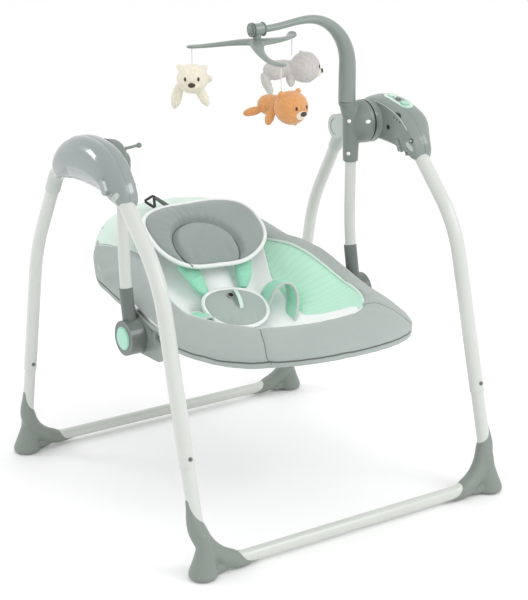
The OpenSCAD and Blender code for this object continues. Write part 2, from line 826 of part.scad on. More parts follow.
// Shoulder straps and waist straps
module harness() {
    color(mint) {
        both_sides() translate([60, 0, 0]) on_seat(112, 389, 42)
            translate([-19, -30, -2]) cube([38, 60, 4]);
        both_sides() translate([112, -20, 330]) rotate([0, 50, 0])
            translate([-2, -19, -24]) cube([4, 38, 48]);
    }
}

// ---------------------------------------------------------------- mobile

module mobile_spider() {
    color(grey_green) {
        translate([arch_tip_x, arch_y, spider_z - 2]) cylinder(h = tip_z - spider_z + 3, r = 3);
        translate([arch_tip_x, arch_y, spider_z - 6]) cylinder(h = tip_z - 18.6 - spider_z + 6, r1 = 15, r2 = 9);
        for (k = [0:2]) translate([arch_tip_x, arch_y, spider_z])
            rotate([0, 0, ARM_TURN[k]]) mobile_arm(ARM_DROP[k]);
    }
}

// Curved arm along +X that ends in a flat paddle
function arm_point(t, drop) = [arm_reach * t, -34 * t * (1 - t) * 1.6, -drop * smooth(t * 1.1)];

// Half width of the arm: broad at the root, slim, then a rounded paddle
function arm_width(t) =
    lerp(13, 7, smooth(t * 1.4)) + 4.5 * smooth((t - 0.72) / 0.22) - 8 * smooth((t - 1) / 0.08);

module mobile_arm(drop) {
    skin([for (i = [0:12]) let (t = lerp(0.06, 1.06, i / 12), thick = lerp(5.4, 3, smooth(t * 1.5)))
        ring(arm_point(t, drop), [0, arm_width(t), 0], [0, 0, -thick], 16)]);
}

// Where the string of toy k leaves its arm
function string_top(k) = [arch_tip_x + arm_reach * cos(ARM_TURN[k]), arch_y + arm_reach * sin(ARM_TURN[k]),
    spider_z - ARM_DROP[k] - 3.6];

// Length of the string of toy k
function string_length(k) = string_l + STRING_EXTRA[k];

// Soft toy animal lying on its belly, head towards -Y, its back at the origin
module plush_toy() {
    translate([0, -26, -20]) sphere(r = 25);
    hull() {
        translate([0, -8, -22]) sphere(r = 17, $fn = 24);
        translate([0, 34, -28]) sphere(r = 20, $fn = 24);
    }
    for (s = [-1, 1]) {
        hull() {
            translate([s * 14, -6, -30]) sphere(r = 8, $fn = 18);
            translate([s * 28, -22, -50]) sphere(r = 9, $fn = 18);
        }
        hull() {
            translate([s * 12, 40, -34]) sphere(r = 8, $fn = 18);
            translate([s * 26, 56, -48]) sphere(r = 9, $fn = 18);
        }
        translate([s * 20, -18, -4]) sphere(r = 7);
    }
}

module toy(k) {
    translate(string_top(k) - [0, 0, string_length(k) + 0.4]) rotate([0, 0, TOY_TURN[k]]) plush_toy();
}

module toy_string(k) {
    skin([for (part = [0:3])
        ring(string_top(k) - [0, 0, string_length(k) * part / 3], [1, 0, 0], [0, 1, 0], 8)]);
}

module toy_cream() color("#e9e2cf") toy(0);
module toy_grey() color("#d5d3d2") toy(1);
module toy_orange() color("#df9650") toy(2);
module toy_cream_string() color("white") toy_string(0);
module toy_grey_string() color("white") toy_string(1);
module toy_orange_string() color("white") toy_string(2);

front_base_tube();
front_leg_left();
front_leg_right();
front_feet();
front_foot_pads();
motor_case_inner();
motor_case_outer();
idler_case_inner();
idler_case_outer();
case_screws();
axle_bushes();
drive_coil();
control_board();
speaker();
battery_cells();
battery_door();
control_panel();
power_jack();
power_button();
speed_button();
music_button();
fold_button_left();
fold_button_right();
snap_button_front_left();
snap_button_front_right();
rear_base_tube();
rear_leg_left();
rear_leg_right();
rear_socket_left();
rear_socket_right();
rear_feet();
rear_foot_pads();
snap_button_rear_left();
snap_button_rear_right();
hanger_hub_left();
hanger_hub_right();
swing_axles();
drive_magnet_arm();
hanger_tube_left();
hanger_tube_right();
recline_case_left();
recline_case_right();
toy_post();
toy_arch();
recline_button_left();
recline_button_right();
seat_hub_left();
seat_hub_right();
seat_frame();
seat_shell();
headrest();
harness();
crotch_pad();
mobile_spider();
toy_cream();
toy_grey();
toy_orange();
toy_cream_string();
toy_grey_string();
toy_orange_string();
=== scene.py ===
"""Looks of the electric baby swing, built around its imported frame.

Sizes in the helper calls are in millimetres and become metres in the meshes. +Y is the head
end, +X the motor side.
"""

import math
import random

import bmesh
import bpy
import numpy as np
from mathutils import Matrix, Vector, noise

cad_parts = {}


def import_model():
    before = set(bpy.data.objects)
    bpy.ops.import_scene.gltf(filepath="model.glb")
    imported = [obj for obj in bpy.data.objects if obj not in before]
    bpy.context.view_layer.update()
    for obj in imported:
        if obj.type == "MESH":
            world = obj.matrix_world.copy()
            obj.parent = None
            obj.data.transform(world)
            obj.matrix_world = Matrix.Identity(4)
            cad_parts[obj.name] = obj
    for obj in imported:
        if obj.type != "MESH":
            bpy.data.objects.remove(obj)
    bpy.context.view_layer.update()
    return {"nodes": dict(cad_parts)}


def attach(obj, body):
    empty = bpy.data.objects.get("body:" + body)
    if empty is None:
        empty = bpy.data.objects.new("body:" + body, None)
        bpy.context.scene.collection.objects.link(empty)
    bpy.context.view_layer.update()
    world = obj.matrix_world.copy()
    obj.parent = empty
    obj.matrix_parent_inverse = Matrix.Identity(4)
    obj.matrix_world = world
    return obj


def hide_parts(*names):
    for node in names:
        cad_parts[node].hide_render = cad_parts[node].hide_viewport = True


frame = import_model()
NODES = frame["nodes"]
random.seed(7)

# ---------------------------------------------------------------- materials


def linear(rgb):
    """sRGB bytes to linear colour."""
    return [((c / 255 + 0.055) / 1.055) ** 2.4 if c > 10 else c / 255 / 12.92 for c in rgb]


class Nodes:
    """A node tree being built for one material."""

    def __init__(self, name):
        self.mat = bpy.data.materials.new(name)
        self.mat.use_nodes = True
        self.tree = self.mat.node_tree
        self.bsdf = self.tree.nodes["Principled BSDF"]
        self.where = self.add("ShaderNodeTexCoord").outputs["Object"]
        self.height = None

    def add(self, kind, **values):
        n = self.tree.nodes.new(kind)
        for k, v in values.items():
            key = k.replace("_", " ")
            if key in n.inputs:
                n.inputs[key].default_value = v
            else:
                setattr(n, k, v)
        return n

    def link(self, a, b):
        self.tree.links.new(a, b)

    def noise(self, scale, detail=2.0, rough=0.5, where=None):
        n = self.add("ShaderNodeTexNoise", Scale=scale, Detail=detail, Roughness=rough)
        self.link(where or self.where, n.inputs["Vector"])
        return n.outputs["Fac"]

    def wave(self, scale, distortion=0.0, direction="X", where=None, detail_scale=1.0):
        n = self.add("ShaderNodeTexWave", Scale=scale, Distortion=distortion)
        n.bands_direction = direction
        n.inputs["Detail Scale"].default_value = detail_scale
        self.link(where or self.where, n.inputs["Vector"])
        return n.outputs["Fac"]

    def span(self, value, low, high, start=0.0, end=1.0):
        n = self.add("ShaderNodeMapRange")
        self.link(value, n.inputs["Value"])
        for key, v in zip(("From Min", "From Max", "To Min", "To Max"), (start, end, low, high)):
            n.inputs[key].default_value = v
        return n.outputs["Result"]

    def math(self, op, a, b):
        n = self.add("ShaderNodeMath", operation=op)
        for socket, v in zip(n.inputs, (a, b)):
            if isinstance(v, (int, float)):
                socket.default_value = v
            else:
                self.link(v, socket)
        return n.outputs["Value"]

    def mix(self, fac, a, b):
        n = self.add("ShaderNodeMix", data_type="RGBA")
        self.link(fac, n.inputs["Factor"])
        for key, v in (("A", a), ("B", b)):
            socket = [s for s in n.inputs if s.name == key and s.type == "RGBA"][0]
            if isinstance(v, (list, tuple)):
                socket.default_value = (*v, 1)
            else:
                self.link(v, socket)
        return [s for s in n.outputs if s.type == "RGBA"][0]

    def colour(self, rgb, spread=0.06, scale=9.0, detail=3.0):
        """Base colour that varies a little over the piece."""
        c = linear(rgb)
        dark, light = [x * (1 - spread) for x in c], [min(1, x * (1 + spread)) for x in c]
        out = self.mix(self.noise(scale, detail), dark, light)
        self.link(out, self.bsdf.inputs["Base Color"])
        return out

    def bump(self, height, strength, distance):
        n = self.add("ShaderNodeBump", Strength=strength, Distance=distance)
        self.link(height, n.inputs["Height"])
        if self.height is not None:
            self.link(self.height, n.inputs["Normal"])
        self.height = n.outputs["Normal"]
        self.link(self.height, self.bsdf.inputs["Normal"])

    def set(self, **values):
        for k, v in values.items():
            self.bsdf.inputs[k.replace("_", " ")].default_value = v


def hard(name, rgb, rough=0.4, texture=0.03, coat=0.0, metal=0.0, spread=0.05):
    """Moulded plastic, paint or metal."""
    n = Nodes(name)
    n.colour(rgb, spread)
    n.link(n.span(n.noise(35, 3), rough - 0.05, rough + 0.07), n.bsdf.inputs["Roughness"])
    n.bump(n.noise(1400, 2), texture, 0.0006)
    n.set(Metallic=metal, Coat_Weight=coat, Coat_Roughness=0.06)
    return n.mat


def weave(n, period, strength, where):
    """Twill: fine threads across each other, with a slant."""
    a = n.wave(0.3 / period, 0.6, "X", where)
    b = n.wave(0.3 / period, 0.6, "Y", where)
    d = n.wave(0.2 / period, 0.4, "DIAGONAL", where)
    n.bump(n.math("ADD", n.math("MULTIPLY", a, b), n.math("MULTIPLY", d, 0.6)), strength, period)


def cloth_material(name, rgb, period=0.0011, strength=0.25, spread=0.06, sheen=0.25, soft=0.3):
    n = Nodes(name)
    uv = n.tree.nodes[n.where.node.name].outputs["UV"]
    base = n.colour(rgb, spread, 14.0)
    fine = n.noise(900, 2)
    c = linear(rgb)
    n.link(n.mix(n.span(fine, 0.0, 0.35), base, [x * 0.8 for x in c]), n.bsdf.inputs["Base Color"])
    n.link(n.span(n.noise(60), 0.82, 0.95), n.bsdf.inputs["Roughness"])
    weave(n, period, strength, uv)
    n.bump(n.noise(55, 3), soft, 0.0015)
    n.set(Sheen_Weight=sheen, Sheen_Roughness=0.5, Specular_IOR_Level=0.25)
    return n.mat


def mesh_fabric(name, rgb):
    """Fine knitted mesh with slanting lines of tiny holes."""
    n = Nodes(name)
    uv = n.tree.nodes[n.where.node.name].outputs["UV"]
    c = linear(rgb)
    lines = n.wave(52.0, 0.5, "DIAGONAL", uv)
    holes = n.add("ShaderNodeTexVoronoi", Scale=620.0)
    n.link(uv, holes.inputs["Vector"])
    dots = n.span(holes.outputs["Distance"], 0.0, 1.0, 0.1, 0.45)
    tone = n.math("MULTIPLY", n.span(lines, 0.82, 1.0, 0.0, 0.35), n.span(dots, 0.9, 1.0))
    shade = n.mix(tone, [x * 0.72 for x in c], c)
    faded = n.mix(n.span(n.noise(12), 0.0, 0.25), shade, [min(1, x * 1.15) for x in c])
    n.link(faded, n.bsdf.inputs["Base Color"])
    n.link(n.span(n.noise(60), 0.75, 0.9), n.bsdf.inputs["Roughness"])
    n.bump(lines, 0.25, 0.0012)
    n.bump(n.noise(50, 3), 0.3, 0.0015)
    n.set(Sheen_Weight=0.2, Specular_IOR_Level=0.3)
    return n.mat


def plush_material(name, rgb, dark=0.75):
    """Short velvety pile."""
    n = Nodes(name)
    c = linear(rgb)
    clumps = n.noise(230, 4, 0.7)
    pile = n.noise(1500, 3, 0.7)
    tone = n.math("ADD", n.math("MULTIPLY", clumps, 0.6), n.math("MULTIPLY", pile, 0.4))
    fur = n.mix(n.span(tone, 0.0, 1.0, 0.3, 0.6), [x * dark for x in c], [min(1, x * 1.1) for x in c])
    n.link(fur, n.bsdf.inputs["Base Color"])
    n.link(n.span(clumps, 0.85, 1.0), n.bsdf.inputs["Roughness"])
    n.bump(clumps, 0.5, 0.003)
    n.bump(pile, 0.6, 0.0012)
    n.set(Sheen_Weight=0.6, Sheen_Roughness=0.4, Specular_IOR_Level=0.1)
    return n.mat


PAINT = hard("frame_paint", (200, 204, 198), 0.3, 0.02, coat=0.3, spread=0.03)
GREY = hard("grey_plastic", (128, 139, 133), 0.32, 0.05, coat=0.35)
DARK = hard("dark_plastic", (96, 104, 100), 0.42, 0.05)
LIGHT = hard("light_plastic", (188, 195, 190), 0.36, 0.04)
GLOSS = hard("gloss_cover", (136, 146, 145), 0.16, 0.01, coat=0.7)
HUB = hard("hub_plastic", (116, 127, 121), 0.34, 0.05, coat=0.15)
SLEEVE = hard("sleeve_plastic", (98, 107, 103), 0.3, 0.04, coat=0.3)
FOOT = hard("foot_plastic", (128, 137, 129), 0.4, 0.05)
SOLE = hard("foot_sole", (196, 200, 190), 0.6, 0.08)
# black plastic, also used as painted shade in the screw holes of the motor housing and in the gap round each
# hanger hub
BLACK_AND_SHADE = hard("black_plastic", (24, 27, 26), 0.35, 0.04)
MINT = hard("mint_plastic", (158, 210, 188), 0.3, 0.03, coat=0.3)
PALE_MINT = hard("pale_mint_plastic", (196, 220, 208), 0.25, 0.02, coat=0.4)
WHITE = hard("white_plastic", (240, 242, 240), 0.3, 0.02)
STEEL = hard("turned_steel", (180, 182, 182), 0.3, 0.03, metal=1.0)
COPPER = hard("copper_winding", (184, 115, 64), 0.35, 0.05, metal=1.0)
BOARD = hard("circuit_board", (36, 92, 62), 0.4, 0.06)
CELL = hard("battery_jacket", (70, 78, 88), 0.3, 0.02, coat=0.4)
RIM_CLOTH = cloth_material("grey_twill", (165, 174, 170))
PAD_CLOTH = cloth_material("dark_grey_twill", (148, 157, 154))
CROTCH_CLOTH = cloth_material("mid_grey_twill", (168, 178, 174))
PALE_CLOTH = cloth_material("pale_mint_cotton", (212, 230, 220), 0.0009, 0.2, 0.03)
WHITE_CLOTH = cloth_material("white_cotton", (250, 252, 252), 0.0009, 0.15, 0.02)
PIPING = cloth_material("white_piping", (238, 241, 240), 0.0008, 0.3, 0.03)
GREY_PIPING = cloth_material("grey_piping", (104, 111, 108), 0.0008, 0.3)
GREY_WHITE_PIPING = cloth_material("light_grey_piping", (196, 206, 200), 0.0008, 0.3)
MINT_WEB = cloth_material("mint_webbing", (162, 226, 198), 0.0014, 0.4)
MINT_MESH = mesh_fabric("mint_mesh", (192, 234, 212))
DARK_WEB = cloth_material("dark_webbing", (80, 86, 84), 0.0014, 0.5)
UNDER_CLOTH = cloth_material("under_cover", (146, 153, 150), 0.0012, 0.3)
THREAD = cloth_material("white_thread", (225, 225, 222), 0.0004, 0.4)
CREAM_PLUSH = plush_material("cream_plush", (234, 228, 210))
GREY_PLUSH = plush_material("grey_plush", (202, 199, 195))
ORANGE_PLUSH = plush_material("orange_plush", (216, 156, 100))
SOFT_WHITE = plush_material("muzzle_plush", (240, 228, 208))
EYE = hard("embroidered_eye", (58, 52, 48), 0.5, 0.2)

for node, material in {
    **dict.fromkeys(
        "front_base_tube front_leg_left front_leg_right rear_base_tube rear_leg_left rear_leg_right "
        "hanger_tube_left hanger_tube_right".split(), PAINT),
    **dict.fromkeys(
        "motor_case_inner motor_case_outer battery_door fold_button_right "
        "seat_hub_left seat_hub_right toy_post toy_arch mobile_spider "
        "hanger_hub_left hanger_hub_right".split(), GREY),
    **dict.fromkeys(
        "snap_button_front_left snap_button_front_right "
        "snap_button_rear_left snap_button_rear_right".split(), DARK),
    **dict.fromkeys("idler_case_inner rear_socket_left rear_socket_right".split(), LIGHT),
    "recline_case_left": SLEEVE, "recline_case_right": SLEEVE,
    "idler_case_outer": GLOSS, "fold_button_left": GLOSS, "front_feet": FOOT, "rear_feet": FOOT,
    "front_foot_pads": SOLE, "rear_foot_pads": SOLE,
    "control_panel": PALE_MINT, "power_button": PALE_MINT, "speed_button": DARK, "music_button": MINT,
    "recline_button_left": MINT, "recline_button_right": MINT,
    "case_screws": STEEL, "swing_axles": STEEL, "drive_magnet_arm": STEEL, "axle_bushes": WHITE,
    "drive_coil": COPPER, "control_board": BOARD, "speaker": BLACK_AND_SHADE, "power_jack": BLACK_AND_SHADE,
    "battery_cells": CELL, "seat_frame": STEEL,
}.items():
    NODES[node].data.materials.clear()
    NODES[node].data.materials.append(material)

# ---------------------------------------------------------------- mesh helpers

MM = 0.001


def lerp(a, b, t):
    return a + (b - a) * t


def smooth(t):
    t = np.clip(t, 0, 1)
    return t * t * (3 - 2 * t)


def shown(name, verts, faces, material, body=None, uv=None, shade=True, auto=None):
    """A mesh object from points in millimetres."""
    me = bpy.data.meshes.new(name)
    me.from_pydata([tuple(float(c) * MM for c in v) for v in verts], [], [tuple(f) for f in faces])
    me.validate()
    if uv is not None:
        layer = me.uv_layers.new(name="UVMap")
        index = np.zeros(len(me.loops), int)
        me.loops.foreach_get("vertex_index", index)
        layer.data.foreach_set("uv", (np.array(uv, float)[index] * MM).astype(np.float32).ravel())
    o = bpy.data.objects.new(name, me)
    bpy.context.scene.collection.objects.link(o)
    for m in material if isinstance(material, list) else [material]:
        me.materials.append(m)
    if shade:
        me.polygons.foreach_set("use_smooth", [True] * len(me.polygons))
    if auto is not None:
        sharpen(o, auto)
    if body:
        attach(o, body)
    return o


def sharpen(o, degrees):
    """Marks edges sharper than the angle, so that smooth shading stops there."""
    bm = bmesh.new()
    bm.from_mesh(o.data)
    bmesh.ops.recalc_face_normals(bm, faces=bm.faces)
    for e in bm.edges:
        if len(e.link_faces) == 2 and e.calc_face_angle(0) > math.radians(degrees):
            e.smooth = False
    bm.to_mesh(o.data)
    bm.free()


def sheet(points, close_u=False, close_v=False, cap=False):
    """Verts, faces and unrolled UVs (millimetres) of a grid of points [n][m][3]."""
    p = np.array(points, float)
    n, m = p.shape[:2]
    u = np.zeros((n, m))
    v = np.zeros((n, m))
    u[1:] = np.cumsum(np.linalg.norm(np.diff(p, axis=0), axis=2).mean(1))[:, None]
    v[:, 1:] = np.cumsum(np.linalg.norm(np.diff(p, axis=1), axis=2), axis=1)
    faces = []
    for i in range(n if close_u else n - 1):
        for k in range(m if close_v else m - 1):
            a, b = i, (i + 1) % n
            c, d = k, (k + 1) % m
            faces.append((a * m + c, b * m + c, b * m + d, a * m + d))
    if cap:
        faces.append([k for k in range(m)][::-1])
        faces.append([(n - 1) * m + k for k in range(m)])
    return p.reshape(-1, 3), faces, np.stack([u, v], -1).reshape(-1, 2)


def frames_along(path, up=(0, 0, 1), close=False):
    """Points, and two unit vectors across the path at each point."""
    p = np.array(path, float)
    if close:
        t = np.roll(p, -1, 0) - np.roll(p, 1, 0)
    else:
        t = np.gradient(p, axis=0)
    t /= np.linalg.norm(t, axis=1)[:, None]
    a = np.cross(t, np.array(up, float))
    bad = np.linalg.norm(a, axis=1) < 1e-3
    a[bad] = np.cross(t[bad], (1, 0.2, 0))
    a /= np.linalg.norm(a, axis=1)[:, None]
    return p, a, np.cross(a, t), t


def tube(name, path, r, material, body=None, sides=14, close=False, flat=1.0, up=(0, 0, 1), cap=True):
    """Round or flattened rod along a path. r may be one number or one a point."""
    p, a, b, _ = frames_along(path, up, close)
    r = np.broadcast_to(np.array(r, float), (len(p),))
    ang = np.linspace(0, 2 * math.pi, sides, endpoint=False)
    cos, sin = np.cos(ang)[:, None], flat * np.sin(ang)[:, None]
    rings = [p[i] + r[i] * (cos * a[i] + sin * b[i]) for i in range(len(p))]
    v, f, uv = sheet(rings, close, True, cap and not close)
    return shown(name, v, f, material, body, uv)


def curve(points, n=40, close=False):
    """Smooth curve through the points (Catmull-Rom)."""
    p = np.array(points, float)
    m = len(p)
    out = []
    for t in np.linspace(0, m if close else m - 1, n, endpoint=not close):
        i = min(int(t), m - 1 if close else m - 2)
        f = t - i
        if close:
            q = [p[(i + k) % m] for k in (-1, 0, 1, 2)]
        else:
            q = [p[max(0, i - 1)], p[i], p[i + 1], p[min(m - 1, i + 2)]]
        out.append(0.5 * ((2 * q[1]) + (q[2] - q[0]) * f + (2 * q[0] - 5 * q[1] + 4 * q[2] - q[3]) * f * f
                          + (3 * q[1] - q[0] - 3 * q[2] + q[3]) * f ** 3))
    return np.array(out)


def wobble(p, size, amount, seed=0):
    """Smooth noise at points p (mm), with features of the given size."""
    q = p / size + (seed * 7.1, 0, 0)
    return np.array([noise.noise(Vector(at)) * amount for at in q])


def apply_modifier(o, *modifiers):
    bpy.context.view_layer.objects.active = o
    with bpy.context.temp_override(object=o):
        for m in modifiers:
            bpy.ops.object.modifier_apply(modifier=m.name)


def points_of(o):
    """Vertices of an object in millimetres."""
    return np.array([v.co[:] for v in o.data.vertices]) / MM


def move_points(o, points):
    o.data.vertices.foreach_set("co", (points * MM).astype(np.float32).ravel())
    o.data.update()


def inflate(o, pressure, pins, frames=20, cap=8.0, stiff=5.0, shrink=0.0):
    """Swells a closed or pinned mesh as padded cloth and applies the result.
    pins is a weight a vertex from 0 (free) to 1 (held). cap limits the move in millimetres."""
    rest = np.array([v.co[:] for v in o.data.vertices])
    group = o.vertex_groups.new(name="pin")
    for i, w in enumerate(pins):
        if w > 0:
            group.add([i], float(w), "REPLACE")
    m = o.modifiers.new("cloth", "CLOTH")
    s = m.settings
    s.quality = 5
    s.mass = 0.2
    s.tension_stiffness = s.compression_stiffness = stiff
    s.shear_stiffness = stiff * 0.5
    s.bending_stiffness = 0.15
    s.use_pressure = True
    s.uniform_pressure_force = pressure
    s.shrink_min = shrink
    s.vertex_group_mass = "pin"
    s.pin_stiffness = 1.0
    s.effector_weights.gravity = 0.0
    m.point_cache.frame_end = frames
    scene = bpy.context.scene
    for f in range(1, frames + 1):
        scene.frame_set(f)
    dg = bpy.context.evaluated_depsgraph_get()
    result = np.array([v.co[:] for v in o.evaluated_get(dg).data.vertices])
    o.modifiers.remove(m)
    scene.frame_set(1)
    o.vertex_groups.clear()
    move = result - rest
    far = np.linalg.norm(move, axis=1)
    scale = np.minimum(1, cap * MM / np.maximum(far, 1e-9))
    move_points(o, (rest + move * scale[:, None]) / MM)
    print(o.name, "cloth moved up to", round(float(far.max()) * 1000, 1), "mm")


# ---------------------------------------------------------------- seat shape


def spow(v, p):
    return np.sign(v) * np.abs(v) ** p


def oval(a, w, lh, lf, mid, nh, nf):
    """Rounded oval at angle a (radians): half width w, head and foot lengths."""
    s, c = np.sin(a), np.cos(a)
    n = np.where(s > 0, nh, nf)
    return np.stack([w * spow(c, 2 / n), mid + np.where(s > 0, lh, lf) * spow(s, 2 / n)], -1)


def edge_z(y):
    return (350 + 48 * smooth((y + 110) / 270) + 81 * np.clip((y - 190) / 153, 0, 1) ** 1.2
            + 22 * np.clip((-190 - y) / 155, 0, 1) ** 1.5)


def inner_z(y):
    return (371 + 42 * smooth((y + 75) / 200) + 62 * np.clip((y - 190) / 75, 0, 1) ** 1.4
            + 6 * np.clip((-200 - y) / 55, 0, 1))


def outer_point(a, inset=0.0):
    p = oval(a, 235 - inset, 316 - inset, 358 - inset, 20, 2.8, 2.4)
    return np.concatenate([p, edge_z(p[..., 1])[..., None]], -1)


def inner_point(a):
    p = oval(a, 184, 285, 235, -20, 2, 2)
    return np.concatenate([p, inner_z(p[..., 1])[..., None]], -1)


def bowl(a, s):
    """Inside of the bucket: s = 0 at its lowest point, 1 at the inner edge of the rim."""
    q = inner_point(a)
    head = np.maximum(0, np.sin(a)) ** 6
    g = lerp(s ** 2.6, smooth(s) ** 1.15, head)
    return np.stack([q[..., 0] * s, lerp(-40, q[..., 1], s), lerp(276, q[..., 2], g)], -1)


def loop_angles(n):
    """Angles that give points evenly spaced along the outer edge."""
    a = np.linspace(0, 2 * math.pi, 1441)
    d = np.concatenate([[0], np.cumsum(np.linalg.norm(np.diff(outer_point(a), axis=0), axis=1))])
    return np.interp(np.linspace(0, d[-1], n, endpoint=False), d, a)


SIDE_SEAMS = (233, 309, 137, 45)  # degrees round the rim where its panels are sewn together
SEAM_SLANT = (3, -3, 0, 0)  # how far the seams lean, in columns of the rim
MINT_FROM, MINT_TO = 45, 137  # the head end of the rim is mint
RIM_ROWS = 48
CREASE_ROW = 29  # row of the rim's section that lies in the crease above its lower band


def build_rim():
    """Padded rim round the seat: one closed ring of cloth over the frame rod."""
    n = 420
    a = loop_angles(n)
    inner, outer = inner_point(a), outer_point(a)
    out = outer - inner
    out[:, 2] = 0
    out /= np.linalg.norm(out, axis=1)[:, None]
    normal = np.gradient(outer[:, :2], axis=0)
    normal = np.stack([normal[:, 1], -normal[:, 0], np.zeros(n)], -1)
    normal /= np.linalg.norm(normal, axis=1)[:, None]
    up = np.array([0, 0, 1.0])
    hinge = np.exp(-((outer[:, 1] - 5) / 75) ** 2)[:, None]  # slimmer beside the hubs
    foot = smooth((-outer[:, 1] - 60) / 220)[:, None]
    proud = 8.5 - 4 * hinge + 6.5 * foot
    section = np.array([
        inner - 5 * up,
        inner + 3 * up - 1 * out,
        lerp(inner, outer, 0.12) + (10 + 2 * foot) * up,
        lerp(inner, outer, 0.35) + (14 + 3 * foot) * up,
        lerp(inner, outer, 0.62) + (13 + 3 * foot) * up,
        lerp(inner, outer, 0.85) + (10 + 2 * foot) * up,
        outer + 0.4 * proud * normal + 4 * up,
        outer + 0.95 * proud * normal - 4 * up,
        outer + proud * normal - 10 * up,
        outer + (proud - 2.5) * normal - 13.5 * up,
        outer + (proud - 0.5) * normal - 17 * up,
        outer + (proud - 3) * normal - 24 * up,
        outer - 7 * normal - 28 * up,
        lerp(inner, outer, 0.6) - 26 * up,
        lerp(inner, outer, 0.2) - 20 * up,
    ])
    rim = np.stack([curve(section[:, i], RIM_ROWS, close=True) for i in range(n)])
    flat = rim.reshape(-1, 3)
    flat[:, 2] += wobble(flat, 45, 1.6) + wobble(flat, 20, 0.8, 3)
    v, f, uv = sheet(rim, True, True)
    o = shown("seat_rim", v, f, [RIM_CLOTH, PALE_CLOTH], None, uv)
    # held at its inner edge, underneath, along the crease and at the joins across the rim
    row = np.arange(len(flat)) % RIM_ROWS
    pins = np.where((row < 2) | (row > RIM_ROWS - 14), 1.0, 0.0)
    pins[np.isin(row, [CREASE_ROW - 1, CREASE_ROW])] = 0.9
    column = np.arange(len(flat)) // RIM_ROWS
    seams = [np.argmin(np.abs(a - math.radians(angle))) for angle in SIDE_SEAMS]
    for at in seams:
        pins[column == at] = np.maximum(pins[column == at], 0.9)
    inflate(o, 2.5, pins, 16, 5.0)
    co = points_of(o)
    middle = lerp(inner, outer, 0.6)[column] - 6 * up
    inward = middle - co
    inward /= np.linalg.norm(inward, axis=1)[:, None]
    # only the swelling is kept, so that the cloth stays outside the frame rod
    co = flat + inward * np.minimum(0, ((co - flat) * inward).sum(1))[:, None]
    for at, slant in zip(seams, SEAM_SLANT):
        lean = slant * np.clip((row - 16) / 14, -1, 1)
        away = np.abs((column - at - lean + n / 2) % n - n / 2)
        co += inward * (2.6 * np.exp(-(away / 1.3) ** 2) * (row < 36))[:, None]
    beside = np.abs(co[:, 1]) < 120
    co[beside, 0] = np.clip(co[beside, 0], -243.2, 243.2)
    move_points(o, co)
    for face in o.data.polygons:
        angle = math.degrees(a[face.vertices[0] // RIM_ROWS])
        face.material_index = 1 if MINT_FROM < angle < MINT_TO else 0
    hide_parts("seat_shell")
    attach(o, "seat")
    grid = co.reshape(n, RIM_ROWS, 3)
    cord = tube("rim_crease_cord", grid[:, CREASE_ROW] + 0.4 * normal, 1.5, GREY_PIPING, "seat", 8, True)
    rows = np.arange(3, 34)
    for k, at in enumerate(seams):
        along = at + SEAM_SLANT[k] * np.clip((rows - 16) / 14, -1, 1)
        first = np.floor(along).astype(int)
        path = lerp(grid[first % n, rows], grid[(first + 1) % n, rows], (along - first)[:, None])
        o = tube("rim_seam_%d" % k, path, 0.7, GREY_PIPING, "seat", 6)


build_rim()

# The mint side panel of the liner: angle round the seat, and where it starts up the wall
PANEL = [(-47, 0.985), (-30, 0.9), (-16, 0.78), (3, 0.62), (20, 0.66), (33, 0.76), (37, 0.86), (40.5, 0.985)]


def panel_edge(a):
    """Height up the bucket wall where the mint side panels start, at angles a (radians)."""
    d = np.degrees(a) % 360
    d = np.where(d > 270, d - 360, d)
    d = np.where(d > 90, 180 - d, d)  # both sides alike
    return np.interp(d, *zip(*PANEL), left=0.985, right=0.985), (d > PANEL[0][0]) & (d < PANEL[-1][0])


def build_liner():
    """Seat liner: white centre and mint mesh sides, sewn down along the panel seams."""
    n, low, high = 400, 34, 22
    a = np.linspace(0, 2 * math.pi, n, endpoint=False)
    edge, mint = panel_edge(a)
    grid, level = [], []
    for i in range(n):
        s = np.concatenate([np.linspace(0.02, edge[i], low), np.linspace(edge[i], 1.0, high + 1)[1:]])
        grid.append(bowl(np.full(len(s), a[i]), s))
        level.append(s)
    grid, level = np.array(grid), np.array(level)
    m = low + high
    flat = grid.reshape(-1, 3)
    s = level.reshape(-1)
    seam = np.exp(-((level - edge[:, None]) / 0.012) ** 2) * mint[:, None]
    fade = (1 - s ** 14) * smooth(s / 0.08)
    folds = wobble(flat * (1.0, 0.35, 1.0), 26, 2.4, 2)
    flat[:, 2] += (wobble(flat, 60, 3.0, 1) + folds) * fade - 2.0 * seam.reshape(-1)
    v, f, _ = sheet(grid, True, False)
    f.append([k * m for k in range(n)][::-1])
    round_way = np.where(a > 1.5 * math.pi, a - 2 * math.pi, a)
    round_way = np.where(round_way > math.pi / 2, math.pi - round_way, round_way)
    uv = np.stack([np.repeat(round_way * 170, m), s * 190], -1)
    o = shown("seat_liner", v, f, [WHITE_CLOTH, MINT_MESH], None, uv)
    for face in o.data.polygons[: n * (m - 1)]:
        i, k = divmod(face.index, m - 1)
        face.material_index = 1 if mint[i] and k >= low - 1 else 0
    solid = o.modifiers.new("thick", "SOLIDIFY")
    solid.thickness = 0.003
    solid.offset = -1
    apply_modifier(o, solid)
    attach(o, "seat")
    for word, span in (("right", (-46.5, 40)), ("left", (140, 226.5))):
        b = np.radians(np.linspace(*span, 90))
        at, _ = panel_edge(b)
        path = bowl(b, at) + np.array([0, 0, 0.6])
        tube("liner_seam_" + word, path, 1.1, PIPING, "seat", 8)
        rise = np.array([0, 0, 4.0])
        path = inner_point(b) * np.array([0.992, 0.992, 1]) + rise
        tube("liner_edge_binding_" + word, path, 2.6, PALE_CLOTH, "seat", 10)


build_liner()


